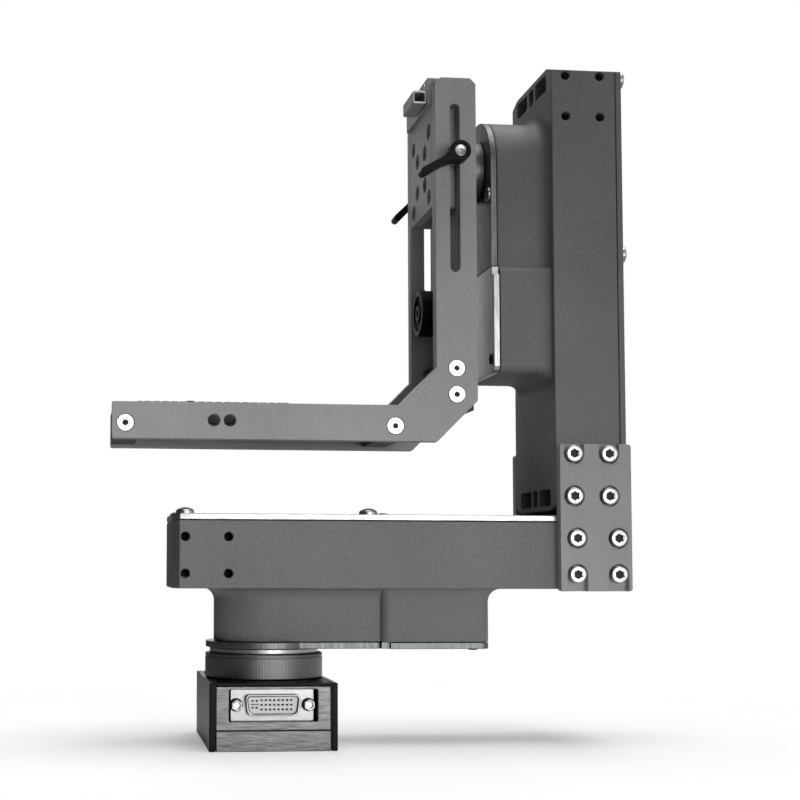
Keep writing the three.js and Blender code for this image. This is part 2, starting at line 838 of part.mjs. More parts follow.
// The corner screws' places in X and Z: a pair of rows for the column and a pair for the arm
function cornerScrewPlaces() {
  const armPlaces = holePlaces(true).map(([x, up]) => [x, armInnerZ + up])
  const columnPlaces = holePlaces(true).map(([along, up]) => [columnInnerFaceX + up, tiltAxisZ - along])
  return { armPlaces, columnPlaces }
}

// A joining plate with its counterbores and its cap screws, for the front (-1) or the rear (1)
function makeCornerPlate(side) {
  const { armPlaces, columnPlaces } = cornerScrewPlaces()
  const bottom = armInnerZ - cornerPlateDrop
  const top = Math.max(...columnPlaces.map(([, z]) => z)) + cornerPlateAboveScrew
  const seat = sideY + clearance
  const face = seat + cornerPlateThickness
  const span = (from, to) => outward(side, from, to)
  const outline = roundedRectangle([columnInnerFaceX, endX], [bottom, top], cornerPlateCorner, 2)
  let plate = slab(outline, ...span(seat, face), 'xz')
  const bores = [...armPlaces, ...columnPlaces]
  const highest = Math.max(...bores.map(([, z]) => z))
  const lowest = Math.min(...bores.map(([, z]) => z))
  const floor = face - counterboreDepth
  for (const [x, z] of bores) {
    plate = plate.subtract(rod(counterboreRadius, ...span(floor, face + overrun), medium, 'y', [x, 0, z]))
    const open = z === highest ? [z, top + overrun] : [bottom - overrun, z]
    if (z === highest || z === lowest) {
      const mouth = [x - counterboreRadius, x + counterboreRadius]
      plate = plate.subtract(block(mouth, span(floor, face + overrun), open))
    }
  }
  for (const [x, z] of bores) {
    const centre = [x, 0, z]
    const shankSpan = span(seat - tappedDepth + clearance, floor + overrun)
    const shank = rod(capShankRadius, ...shankSpan, coarse, 'y', centre)
    const headSolid = rod(capHeadRadius, ...span(floor, floor + capHeadHeight), medium, 'y', centre)
    const socket = span(floor + capHeadHeight - capSocketDepth, floor + capHeadHeight + overrun)
    plate = plate.add(shank).add(headSolid).subtract(rod(capSocketRadius, ...socket, 6, 'y', centre))
  }
  return plate
}

function makeCorner() {
  add('corner_plate_front', makeCornerPlate(-1), 'paint')
  add('corner_plate_rear', makeCornerPlate(1), 'paint')
}

// Countersunk screws in X and Z, with the names of their places
const cornerScrewX = cradleRightX - cornerScrewFromRight
const shelfScrewZ = cradleBottomZ + shelfScrewAboveBottom
const sinkPlaces = [
  ['upper_corner', cornerScrewX, shelfTopZ + cornerScrewUpperRise],
  ['lower_corner', cornerScrewX, shelfTopZ + cornerScrewLowerRise],
  ['shelf_right', shelfRightX - shelfScrewFromEnd, shelfScrewZ],
  ['shelf_left', cradleLeftX + shelfScrewFromEnd, shelfScrewZ],
]

function makeSink(side, x, z, gap) {
  const face = cradleHalfWidth
  const cone = face - sinkLandHeight - sinkConeHeight
  const foot = face - sinkLength - gap
  const top = gap > 0 ? face + overrun : face
  const shank = sinkShankRadius + gap
  const edge = sinkHeadRadius + gap
  const land = face - sinkLandHeight
  const profile = [[0, foot], [shank, foot], [shank, cone], [edge, land], [edge, top], [0, top]]
  const solid = turned(profile, medium, 'y', [0, 0, 0])
  const facing = side < 0 ? solid.mirror([0, 1, 0]) : solid
  return facing.translate([x, 0, z])
}

function makeSidePlate(side) {
  const outline = [
    ...arc([cradleLeftX + barCorner, cradleBottomZ + barCorner], barCorner, 180, 270, 2),
    [cradleRightX - outerDiagonal, cradleBottomZ],
    [cradleRightX, cradleBottomZ + outerDiagonal],
    [cradleRightX, cradleTopZ - topChamfer],
    [cradleRightX - topChamfer, cradleTopZ],
    [uprightLeftX + topChamfer, cradleTopZ],
    [uprightLeftX, cradleTopZ - topChamfer],
    [uprightLeftX, shelfTopZ + innerDiagonal],
    [uprightLeftX - innerDiagonal, shelfTopZ],
    ...arc([cradleLeftX + barCorner, shelfTopZ - barCorner], barCorner, 90, 180, 2),
  ]
  const [near, far] = outward(side, cradleHalfWidth - sidePlateThickness, cradleHalfWidth)
  let plate = slab(outline, near, far, 'xz')
  const slotHalf = slotWidth / 2
  const slot = [
    ...arc([slotX, slotTopZ - slotHalf], slotHalf, 0, 180, 6),
    ...arc([slotX, slotBottomZ + slotHalf], slotHalf, 180, 360, 6),
  ]
  plate = plate.subtract(slab(slot, near - overrun, far + overrun, 'xz'))
  for (const x of [0, sideHolePitch]) {
    const centre = [cradleLeftX + sideHoleFromLeft + x, 0, cradleBottomZ + sideHoleAboveBottom]
    plate = plate.subtract(rod(sideHoleRadius, near - overrun, far + overrun, medium, 'y', centre))
  }
  for (const [, x, z] of sinkPlaces) plate = plate.subtract(makeSink(side, x, z, clearance))
  return plate
}

function makeSinkScrews(side, sideName) {
  for (const [place, x, z] of sinkPlaces) {
    const depth = outward(side, cradleHalfWidth - sinkSocketDepth, cradleHalfWidth + overrun)
    const socket = rod(sinkSocketRadius, ...depth, 6, 'y', [x, 0, z])
    add(`${sideName}_${place}_screw`, makeSink(side, x, z, 0).subtract(socket), 'steel')
  }
}

const acrossInside = [-insideHalf, insideHalf]
const backPlateX = [cradleRightX - backPlateThickness, cradleRightX]

function makeBackPlate() {
  const z = [cornerBlockTopZ + clearance, cradleTopZ - backPlateDrop]
  const through = [backPlateX[0] - overrun, backPlateX[1] + overrun]
  const plate = block(backPlateX, acrossInside, z)
  const cableHole = rod(shaftBore, ...through, medium, 'x', [0, 0, tiltAxisZ])
  const studHole = rod(knobStudRadius + clearance, ...through, medium, 'x', [0, 0, knobZ])
  return plate.subtract(cableHole).subtract(studHole)
}

function cutSinks(solid) {
  return [-1, 1].reduce((left, side) => sinkPlaces.reduce(
    (rest, [, x, z]) => rest.subtract(makeSink(side, x, z, clearance)), left), solid)
}

function makeShelf() {
  const under = shelfTopZ - shelfThickness
  const left = cradleLeftX + clearance
  const ribZ = [under - shelfRibDrop, under + shelfThickness / 2]
  const plate = block([left, shelfRightX], acrossInside, [under, shelfTopZ])
  const leftRib = block([left, left + shelfRibWidth], acrossInside, ribZ)
  const rightRib = block([shelfRightX - shelfRibWidth, shelfRightX], acrossInside, ribZ)
  const through = [under - overrun, shelfTopZ + overrun]
  const screwHole = rod(cameraScrewRadius + clearance, ...through, medium, 'z', [cameraScrewX, 0, 0])
  return cutSinks(plate.add(leftRib).add(rightRib)).subtract(screwHole)
}

function makePad() {
  const half = insideHalf - padInset
  const from = shelfTopZ + clearance
  const face = from + padThickness
  const tip = from + padTip
  const outline = [
    [padLeftX, from], [padRightX, from], [padRightX, tip], [padRightX - padTaper, face],
    [padLeftX + padTaper, face], [padLeftX, tip],
  ]
  const top = face + overrun
  return slab(outline, -half, half, 'xz')
    .subtract(rod(cameraScrewRadius + clearance, from - overrun, top, medium, 'z', [cameraScrewX, 0, 0]))
    .subtract(rod(pinRadius + clearance, from - overrun, top, medium, 'z', [pinX, 0, 0]))
}

function makeCradle() {
  add('cradle_front_plate', makeSidePlate(-1), 'paint')
  add('cradle_rear_plate', makeSidePlate(1), 'paint')
  makeSinkScrews(-1, 'front')
  makeSinkScrews(1, 'rear')
  add('cradle_back_plate', makeBackPlate(), 'darkPaint')
  const cornerX = [cradleRightX - cornerBlockWidth, cradleRightX]
  const cornerBlock = block(cornerX, acrossInside, [cornerBlockBottomZ, cornerBlockTopZ])
  add('cradle_corner_block', cutSinks(cornerBlock), 'darkPaint')
  add('shelf_plate', makeShelf(), 'darkPaint')
  add('shelf_pad', makePad(), 'rubber')
  const foot = shelfTopZ + clearance
  const top = foot + pinHeight
  const tip = pinRadius - pinChamfer
  const profile = [[0, foot], [pinRadius, foot], [pinRadius, top - pinChamfer], [tip, top], [0, top]]
  const pin = turned(profile, coarse, 'z', [pinX, 0, 0])
  add('index_pin', pin, 'black')
}

function makeCameraScrew() {
  const wheelTop = shelfTopZ - shelfThickness - clearance
  const wheelBottom = wheelTop - thumbwheelHeight
  const tip = shelfTopZ + clearance + padThickness + cameraScrewProud
  const c = thumbwheelChamfer
  return turned([
    [0, wheelBottom], [thumbwheelRadius - c, wheelBottom], [thumbwheelRadius, wheelBottom + c],
    [thumbwheelRadius, wheelTop - c], [thumbwheelRadius - c, wheelTop], [cameraScrewRadius, wheelTop],
    [cameraScrewRadius, tip - c], [cameraScrewRadius - c, tip], [0, tip],
  ], medium, 'z', [cameraScrewX, 0, 0])
}

function makeKnob() {
  const face = uprightLeftX - knobProud
  const back = face + knobThickness
  const studEnd = cradleRightX - clearance
  const c = knobChamfer
  const ringFloor = face + knobRingDepth
  return turned([
    [0, face + knobSocketDepth], [knobSocketRadius, face + knobSocketDepth], [knobSocketRadius, face],
    [knobBossRadius, face], [knobBossRadius, ringFloor], [knobRingRadius, ringFloor],
    [knobRingRadius, face], [knobRadius - c, face], [knobRadius, face + c], [knobRadius, back - c],
    [knobRadius - c, back], [knobStudRadius, back], [knobStudRadius, studEnd], [0, studEnd],
  ], medium, 'x', [0, 0, knobZ])
}

const carriageX = [uprightLeftX, uprightLeftX + carriageThickness]

function makeCarriage() {
  const half = insideHalf
  const across = [-half, half]
  let carriage = block(carriageX, across, [carriageBottomZ, carriageTopZ])
  const lipX = [carriageX[0] - carriageLipProud, carriageX[1] - carriageThickness / 2]
  carriage = carriage.add(block(lipX, across, [carriageTopZ - carriageLipHeight, carriageTopZ]))
  const flangeX = [carriageX[1] - overrun, carriageX[0] + carriageFlangeReach]
  const flangeZ = [carriageBottomZ, carriageTopZ - carriageFlangeDrop]
  for (const side of [-1, 1]) {
    carriage = carriage.add(block(flangeX, outward(side, half - carriageFlangeThickness, half), flangeZ))
    const stud = outward(side, half - carriageFlangeThickness - overrun, half + overrun)
    const studHole = rod(clampStudRadius + clearance, ...stud, coarse, 'y', [slotX, 0, clampZ])
    carriage = carriage.subtract(studHole)
  }
  const through = [carriageX[0] - overrun, carriageX[1] + overrun]
  for (const [y, rise] of [[innerHoleY, innerHoleRise], [outerHoleY, outerHoleRise]]) {
    for (const [sideways, up] of [[-1, -1], [-1, 1], [1, -1], [1, 1]]) {
      const centre = [0, sideways * y, clampZ + up * rise]
      carriage = carriage.subtract(rod(carriageHoleRadius, ...through, medium, 'x', centre))
    }
  }
  return carriage
}

// A short bright bar of hollow section on the carriage's lip
function makeBar() {
  const right = carriageX[0] - carriageLipProud - clearance
  const x = [right - barReach, right]
  const near = -insideHalf + barFromSidePlate
  const y = [near, near + barWidth]
  const bottom = carriageTopZ - carriageLipHeight + barLift
  const z = [bottom, bottom + barHeight]
  const hollowX = [x[0] + barWall, x[1] - barWall]
  const hollowZ = [z[0] + barWall, z[1] - barWall]
  const hollow = block(hollowX, [y[0] - overrun, y[0] + barHollow], hollowZ)
  return block(x, y, z).subtract(hollow)
}

// A clamp lever with its collar and its stud, drawn for the front and mirrored for the rear
function makeLever(side, angle) {
  const collarFrom = cradleHalfWidth + clearance
  const leverFrom = collarFrom + clampCollarLength
  const leverTo = leverFrom + leverThickness
  const studEnd = insideHalf - carriageFlangeThickness
  const middle = leverFrom + leverThickness / 2
  const shaft = turned([
    [0, studEnd], [clampStudRadius, studEnd], [clampStudRadius, collarFrom],
    [clampCollarRoot, collarFrom], [clampCollarRadius, leverFrom],
    [clampCollarRadius, middle], [0, middle],
  ], coarse, 'y', [0, 0, 0])
  const neck = leverTipRadius * leverNeckShare
  const outline = [
    ...arc([0, 0], leverEyeRadius, 30, 330, 14),
    [leverLength / 2, -neck],
    ...arc([leverLength - leverTipRadius, 0], leverTipRadius, -90, 90, 6),
    [leverLength / 2, neck],
  ]
  const arm = slab(outline, leverFrom, leverTo, 'xz').rotate([0, -angle, 0])
  const socket = rod(leverSocketRadius, leverTo - leverSocketDepth, leverTo + overrun, coarse, 'y')
  const lever = shaft.add(arm).subtract(socket)
  const facing = side < 0 ? lever.mirror([0, 1, 0]) : lever
  return facing.translate([slotX, 0, clampZ])
}

makeBaseShell()
makeBasePanels()
makeConnector()
makePanStack()
makeModules()
makeCorner()
makeCradle()
add('camera_screw', makeCameraScrew(), 'black')
add('lock_knob', makeKnob(), 'black')
add('carriage', makeCarriage(), 'paint')
add('carriage_bar', makeBar(), 'steel')
add('front_clamp_lever', makeLever(-1, frontLeverAngle), 'plastic')
add('rear_clamp_lever', makeLever(1, rearLeverAngle), 'plastic')

export default head
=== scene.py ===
from math import copysign, cos, hypot, pi, radians, sin

import bmesh
import bpy
from mathutils import Matrix, Vector


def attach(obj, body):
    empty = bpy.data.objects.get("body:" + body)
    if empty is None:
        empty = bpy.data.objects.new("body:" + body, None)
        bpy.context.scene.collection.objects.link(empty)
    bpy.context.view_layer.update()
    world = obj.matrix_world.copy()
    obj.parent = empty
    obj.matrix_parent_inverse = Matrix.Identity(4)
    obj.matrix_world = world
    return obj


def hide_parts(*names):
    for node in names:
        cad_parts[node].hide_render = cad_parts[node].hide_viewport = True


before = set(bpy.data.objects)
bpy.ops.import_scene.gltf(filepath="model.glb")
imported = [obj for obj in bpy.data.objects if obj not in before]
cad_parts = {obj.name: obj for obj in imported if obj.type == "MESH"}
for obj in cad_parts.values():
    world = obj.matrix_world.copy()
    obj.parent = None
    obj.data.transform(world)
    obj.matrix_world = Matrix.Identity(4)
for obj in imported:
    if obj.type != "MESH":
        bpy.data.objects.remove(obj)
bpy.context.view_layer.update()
SCENE = bpy.context.scene

# Remote pan tilt head. Shapes are drawn in millimetres and scaled to metres when a piece is made.
MM = 0.001
# The gap between neighbouring pieces
CLEAR = 0.3

# Sizes and levels in millimetres, the same as the solids'. The base:
BASE_HALF_X = 29.5
BASE_HALF_Y = 40
BASE_TOP = 30.8
CHEEK = 3
FLOOR_TOP = 9.2
TOP_COVER = 1.2
PANEL_FRONT = -39.4
PANEL_THICK = 5
WINDOW_HALF = 20.4
WINDOW_LEVELS = (13.3, 27.9)
CONNECTOR_MIDDLE = 20.6
CONNECTOR_BACK = -34.1
JACKSCREW_X = 16.65
# A ring's radius and its lower and upper level
COLLAR = (28.2, 31.1, 42.7)
PAN_FLANGE = (26, 43, 45)

# A drive module, drawn level, with its output axis at the origin and its inner face at height 0
MODULE_START = -46
MODULE_END = 170
SIDE_Y = 32.5
END_CHAMFER = (3.1, 8.5)
HOUSING_TOP = 31.5
LID_LEVELS = (31.8, 34.6)
BULGE_FLOOR = -24.9
COVER_LEVELS = (-28.2, -25.2)
BULGE_RADIUS = 24.2
RIM_RADIUS = 28
FLARE = 6
MOTOR_START = 52.35
MOTOR_MIDDLE = 78.2
MOTOR_END = 104.05
MOTOR_HALF_Y = 28
MOTOR_CORNER = 4
NOTCH_LONG = 4.4
NOTCH_DEEP = 2.4
POCKET = 8
POCKET_WALL = 2.6
POCKET_BANDS = ((-23.9, -6.4), (-3.7, 3.7), (6.4, 23.9))
HUB_RADIUS = 12.5
HUB_FLANGE_RADIUS = 15.2
SHAFT_BORE = 6
SHAFT_RADIUS = 10
SHAFT_TOP = 4
HUB_REACH = {"pan": 14.2, "tilt": 8.4}
HOLE_FROM_JOINT = 6.6
HOLE_FROM_FREE_END = 5.8
HOLE_PITCH = 20
HOLE_ROWS = (6.9, 23.9)
HOLE_RADIUS = 2.1
HOLE_MOUTH = 2.55
HOLE_DEPTH = 13.5

# Where the arm and the column stand
ARM_INNER_Z = 73.5
COLUMN_INNER_X = 135.4
TILT_AXIS_Z = 280.6

# The corner plates, whose screws stand in counterbores
CORNER_PLATE = 5.5
CORNER_RADIUS = 1.4
CORNER_ABOVE_SCREW = 4.6
COUNTERBORE_RADIUS = 4.85
COUNTERBORE_DEPTH = 3.7
CAP_RADIUS = 4
CAP_HEIGHT = 5

# The cradle and the carriage
CRADLE_HALF = 30.5
CRADLE_PLATE = 7
CRADLE_INSIDE = 23.2
CRADLE_LEFT = -74.4
CRADLE_RIGHT = 98.5
CRADLE_BOTTOM = 142.7
CRADLE_TOP = 318.4
TOP_CHAMFER = 2.8
INNER_CHAMFER = 18
OUTER_CHAMFER = 19.7
CARRIAGE_TOP = 320.4
SHELF_TOP = 159.8
UPRIGHT_LEFT = 78.5
BACK_PANEL_LEFT = 91.5
SLOT_X = 88
SLOT_HALF = 2.4
SLOT_ENDS = (226.4, 303.1)
CLAMP_Z = 279.5
KNOB_Z = 208.8
CAMERA_SCREW_X = 1.5
CAMERA_HOLE = 3.4
THREAD_RADIUS = 3.1
PIN_X = -36
# Each countersunk screw's place on a side plate
SINKS = [("upper_corner", 88.4, 177.8), ("lower_corner", 88.4, 165.3),
         ("shelf_right", 58.7, 149.9), ("shelf_left", -68.1, 149.9)]
SINK_RADIUS = 4.15

# Edges sharper than this many degrees stay sharp, on most pieces and on the flared bulges
SHARP = 32
FLARED_SHARP = 40

# The floor's own light, which only the camera sees
FLOOR_GLOW = 0.3


def linear(hex_colour):
    """An sRGB hex value as the linear colour that a shader takes."""
    parts = [int(hex_colour[i:i + 2], 16) / 255 for i in (1, 3, 5)]
    return tuple(c / 12.92 if c <= 0.04045 else ((c + 0.055) / 1.055) ** 2.4 for c in parts) + (1,)


def add_node(tree, kind, inputs, settings=None):
    """Adds a node with its settings. An input is a value, or the socket that feeds it."""
    node = tree.nodes.new("ShaderNode" + kind)
    for name, value in (settings or {}).items():
        setattr(node, name, value)
    for name, value in inputs.items():
        if isinstance(value, bpy.types.NodeSocket):
            tree.links.new(value, node.inputs[name])
        else:
            node.inputs[name].default_value = value
    return node


def start_material(name):
    """A new material with its node tree and the object's own place, which its patterns follow."""
    material = bpy.data.materials.new(name)
    material.use_nodes = True
    tree = material.node_tree
    tree.nodes.clear()
    return material, tree, add_node(tree, "TexCoord", {}).outputs["Object"]


def finish_material(material, colour, wear, relief, metallic, gloss=0.5):
    """Ends a material. Wear is a pattern and the roughness at its low and high end, and relief is a
    pattern, its strength and its depth in millimetres."""
    tree = material.node_tree
    roughness = add_node(tree, "MapRange", {
        "Value": wear[0], "To Min": wear[1], "To Max": wear[2]}).outputs["Result"]
    grain = add_node(tree, "Bump", {
        "Height": relief[0], "Strength": relief[1], "Distance": relief[2] * MM}).outputs["Normal"]
    shader = add_node(tree, "BsdfPrincipled", {
        "Base Color": colour, "Roughness": roughness, "Metallic": metallic,
        "Specular IOR Level": gloss, "Normal": grain}).outputs["BSDF"]
    add_node(tree, "OutputMaterial", {"Surface": shader})
    return material


def two_tones(tree, pattern, dark, pale, low=0, high=1):
    """The dark tone where the pattern is low, and the pale one where it is high."""
    share = add_node(tree, "MapRange", {"Value": pattern, "From Min": low, "From Max": high})
    return add_node(tree, "Mix", {
        0: share.outputs["Result"], 6: linear(dark), 7: linear(pale)},
        {"data_type": "RGBA"}).outputs[2]


SMOOTH = {"interpolation_type": "SMOOTHSTEP"}


def per_mm(size):
    """The noise scale, in metres, whose blobs are this many millimetres across."""
    return 1 / (size * MM)


# Powder coat: a baked polyester film on aluminium, not metallic and of low gloss. Its grit makes
# pale and dark specks about 0.4 mm wide, and broad faces drift a little in tone.
def powder_coat(name, dark, pale, rough, gloss):
    material, tree, place = start_material(name)
    specks = add_node(tree, "TexNoise", {
        "Vector": place, "Scale": per_mm(0.42), "Detail": 2, "Roughness": 0.65}).outputs["Fac"]
    drift = add_node(tree, "TexNoise", {
        "Vector": place, "Scale": per_mm(55), "Detail": 2, "Roughness": 0.5}).outputs["Fac"]
    drift_share = add_node(tree, "MapRange", {
        "Value": drift, "From Min": 0.3, "From Max": 0.7,
        "To Min": 0.9, "To Max": 1.06}).outputs["Result"]
    tone = two_tones(tree, specks, dark, pale, 0.3, 0.72)
    colour = add_node(tree, "HueSaturation", {
        "Color": tone, "Value": drift_share}).outputs["Color"]
    return finish_material(material, colour, (specks, rough - 0.07, rough + 0.09),
                           (specks, 0.35, 0.06), 0, gloss)


# Anodised aluminium: a dyed oxide skin over a bead-blasted face, partly metallic where the metal
# shows through. Near black, with a soft even sheen and a faint mottle in its dye. Its grey copy is
# painted light: the black anodising made grey where the light falls on the base cheeks' sides.
# Black oxide on oiled steel looks the same.
def anodised(name, deep, worn, rough, metallic, gloss=0.5):
    material, tree, place = start_material(name)
    blasted = add_node(tree, "TexNoise", {
        "Vector": place, "Scale": per_mm(0.5), "Detail": 2, "Roughness": 0.6}).outputs["Fac"]
    mottle = add_node(tree, "TexNoise", {
        "Vector": place, "Scale": per_mm(14), "Detail": 3, "Roughness": 0.6}).outputs["Fac"]
    colour = two_tones(tree, mottle, deep, worn)
    return finish_material(material, colour, (mottle, rough - 0.06, rough + 0.08),
                           (blasted, 0.2, 0.03), metallic, gloss)


# Brushed or machined metal: long fine scratches along one direction, which streak the colour, the
# gloss and the surface. Real scratches are a few hundredths of a millimetre wide, too fine to show,
# so they are drawn as wide as the picture needs.
def brushed(name, dark, pale, rough, along, width, length, depth):
    material, tree, place = start_material(name)
    stretch = [per_mm(length) if axis == along else per_mm(width) for axis in "xyz"]
    mapped = add_node(tree, "Mapping", {"Vector": place, "Scale": stretch}).outputs["Vector"]
    scratches = add_node(tree, "TexNoise", {
        "Vector": mapped, "Scale": 1, "Detail": 3, "Roughness": 0.6}).outputs["Fac"]
    colour = two_tones(tree, scratches, dark, pale, 0.3, 0.7)
    return finish_material(material, colour, (scratches, rough + 0.1, rough - 0.08),
                           (scratches, 0.3, depth), 1)


# Polished metal: rolled or turned steel and nickel plate. Bright, with faint cloudy wear.
def polished(name, dark, pale, rough):
    material, tree, place = start_material(name)
    wear = add_node(tree, "TexNoise", {
        "Vector": place, "Scale": per_mm(4), "Detail": 3, "Roughness": 0.5}).outputs["Fac"]
    colour = two_tones(tree, wear, dark, pale)
    return finish_material(material, colour, (wear, rough - 0.04, rough + 0.05),
                           (wear, 0.05, 0.05), 1)


# Moulded plastic, rubber and solder mask: a mould or a coat leaves a fine leathery grain, and
# handling polishes it in soft patches.
def moulded(name, dark, pale, rough, grain_size, grain_depth, gloss=0.5):
    material, tree, place = start_material(name)
    cells = add_node(tree, "TexVoronoi", {
        "Vector": place, "Scale": per_mm(grain_size)}, {"feature": "F1"}).outputs["Distance"]
    patches = add_node(tree, "TexNoise", {
        "Vector": place, "Scale": per_mm(9), "Detail": 3}).outputs["Fac"]
    colour = two_tones(tree, patches, dark, pale)
    return finish_material(material, colour, (patches, rough - 0.1, rough + 0.08),
                           (cells, 0.4, grain_depth), 0, gloss)


# Knurled or finely turned rim: straight ridges up the rim, round an upright axis
def ridged(name, dark, pale, rough, metallic, ridges, middle_x, depth):
    material, tree, place = start_material(name)
    moved = add_node(tree, "VectorMath", {
        0: place, 1: (middle_x * MM, 0, 0)}, {"operation": "SUBTRACT"}).outputs["Vector"]
    parts = add_node(tree, "SeparateXYZ", {"Vector": moved})
    angle = add_node(tree, "Math", {
        0: parts.outputs["Y"], 1: parts.outputs["X"]}, {"operation": "ARCTAN2"}).outputs["Value"]
    turns = add_node(tree, "Math", {
        0: angle, 1: ridges}, {"operation": "MULTIPLY"}).outputs["Value"]
    wave = add_node(tree, "Math", {0: turns}, {"operation": "SINE"}).outputs["Value"]
    uneven = add_node(tree, "TexNoise", {
        "W": turns, "Scale": 0.9, "Detail": 3}, {"noise_dimensions": "1D"}).outputs["Fac"]
    colour = two_tones(tree, uneven, dark, pale, 0.3, 0.7)
    return finish_material(material, colour, (uneven, rough - 0.08, rough + 0.1),
                           (wave, 0.5, depth), metallic)


# Each finish: the record's slot that it belongs to, its kind, its name, its two colours, its
# roughness and what else its kind takes
FINISHES = {name: (slot, make(name, *settings)) for slot, make, name, *settings in (
    ("grey_paint", powder_coat, "charcoal_powder_coat", "#5f6261", "#828584", 0.5, 0.25),
    ("grey_paint", powder_coat, "light_charcoal_powder_coat", "#939695", "#b0b3b2", 0.5, 0.25),
    ("dark_paint", powder_coat, "dark_powder_coat", "#2c2e2f", "#404344", 0.52, 0.25),
    ("black_anodised", anodised, "black_anodised_aluminium", "#08090a", "#131415", 0.46, 0.4, 0.15),
    # The cheeks' grey is painted light: black anodising made grey where the light falls on their
    # sides
    ("black_anodised", anodised, "cheek_painted_lit_side_anodised", "#8a8c8b", "#999b9a", 0.46, 0.1, 0.2),
    ("brushed_grey", brushed, "brushed_grey_aluminium", "#4d4f4e", "#828583", 0.44,
     "x", 0.3, 6, 0.05),
    ("brushed_grey", ridged, "turned_grey_aluminium", "#474948", "#7c7e7d", 0.4, 0.9, 240, 0, 0.05),
    ("bright_aluminium", brushed, "machined_bright_aluminium", "#8b8e8d", "#c2c5c4", 0.38,
     "x", 0.5, 12, 0.03),
    ("bright_aluminium", brushed, "edge_milled_aluminium", "#8b8e8d", "#c2c5c4", 0.38,
     "z", 0.5, 12, 0.03),
    ("bright_aluminium", brushed, "dull_machined_aluminium", "#525554", "#7b7e7d", 0.45,
     "z", 0.5, 12, 0.03),
    ("stainless", polished, "stainless_steel", "#b2b3b1", "#cdcecc", 0.33),
    ("stainless", brushed, "satin_turned_steel", "#5f6161", "#828484", 0.46, "z", 0.5, 12, 0.02),
    # Black oxide steel for the black screws and the pin; the same finish also paints shade in
    # tapped holes, socket bottoms and round the jackscrew nuts
    ("stainless", anodised, "black_steel_and_painted_shade", "#0b0b0c", "#161718", 0.45, 0.6),
    ("bearing_steel", polished, "ground_bearing_steel", "#a3a5a7", "#c7c9ca", 0.3),
    ("connector_nickel", polished, "nickel_plate", "#747574", "#a5a6a4", 0.36),
    ("black_plastic", moulded, "connector_thermoplastic", "#d2d3d0", "#e6e7e4", 0.45, 0.5, 0.02),
    ("black_plastic", moulded, "moulded_black_nylon", "#08090a", "#141516", 0.46, 0.5, 0.03, 0.15),
    ("rubber", moulded, "black_rubber", "#0f1010", "#1d1e1e", 0.8, 0.8, 0.08),
    ("circuit_board", moulded, "solder_mask", "#123c26", "#1d5a38", 0.35, 1.2, 0.02),
    ("black_anodised", ridged, "knurled_black_aluminium", "#0f1011", "#1f2122", 0.38,
     0.4, 60, CAMERA_SCREW_X, 0.35),
)}

# How a flat shape's outline and height lie along the world's axes
LAY = {
    "x": Matrix(((0, 0, 1, 0), (1, 0, 0, 0), (0, 1, 0, 0), (0, 0, 0, 1))),
    "y": Matrix(((1, 0, 0, 0), (0, 0, -1, 0), (0, 1, 0, 0), (0, 0, 0, 1))),
    "z": Matrix.Identity(4),
}
# A turned shape's height runs up its axis, on y too
TURNED_LAY = LAY | {"y": Matrix(((0, 1, 0, 0), (0, 0, 1, 0), (1, 0, 0, 0), (0, 0, 0, 1)))}
ARM_PLACE = Matrix.Translation((0, 0, ARM_INNER_Z))
COLUMN_PLACE = (Matrix.Translation((COLUMN_INNER_X, 0, TILT_AXIS_Z))
                @ Matrix.Rotation(radians(90), 4, "Y"))


def arc(centre, radius, start, end, steps):
    angles = [radians(start + (end - start) * i / steps) for i in range(steps + 1)]
    return [(centre[0] + radius * cos(a), centre[1] + radius * sin(a)) for a in angles]


def circle(centre, radius, steps=40):
    return arc(centre, radius, 0, 360, steps)[:-1]


def rounded(a, b, corner, steps=6):
    """A rectangle's outline between two pairs of levels, with round corners."""
    return (arc((a[1] - corner, b[0] + corner), corner, -90, 0, steps)
            + arc((a[1] - corner, b[1] - corner), corner, 0, 90, steps)
            + arc((a[0] + corner, b[1] - corner), corner, 90, 180, steps)
            + arc((a[0] + corner, b[0] + corner), corner, 180, 270, steps))


def soften(points, radius, closed=True, steps=3):
    """Rounds each corner of an outline with a small curve."""
    out = []
    for i, point in enumerate(points):
        here = Vector(point)
        if not closed and i in (0, len(points) - 1):
            out.append(tuple(here))
            continue
        before = Vector(points[i - 1]) - here
        after = Vector(points[(i + 1) % len(points)]) - here
        start = here + before.normalized() * min(radius, before.length / 2)
        end = here + after.normalized() * min(radius, after.length / 2)
        for k in range(steps + 1):
            t = k / steps
            out.append(tuple(start * (1 - t) ** 2 + here * 2 * t * (1 - t) + end * t * t))
    return out


def mesh_of(shape):
    mesh = bpy.data.meshes.new("blank")
    bmesh.ops.recalc_face_normals(shape, faces=shape.faces[:])
    shape.to_mesh(mesh)
    shape.free()
    return mesh


def face_side(mesh, side):
    """Turns a mesh that is drawn for the rear side over to the front side, where side is -1."""
    if side < 0:
        mesh.transform(Matrix.Scale(-1, 4, (0, 1, 0)))
        mesh.flip_normals()
    return mesh


def joined(*meshes):
    """Several meshes as one."""
    shape = bmesh.new()
    for mesh in meshes:
        shape.from_mesh(mesh)
    mesh = bpy.data.meshes.new("blank")
    shape.to_mesh(mesh)
    shape.free()
    return mesh


def block(low, high, edge=0.4):
    """A box with rounded edges."""
    shape = bmesh.new()
    bmesh.ops.create_cube(shape, size=1)
    for vertex in shape.verts:
        vertex.co = [low[i] + (vertex.co[i] + 0.5) * (high[i] - low[i]) for i in range(3)]
    bmesh.ops.bevel(shape, geom=shape.edges[:], offset=edge, segments=3, profile=0.5,
                    affect="EDGES")
    return mesh_of(shape)


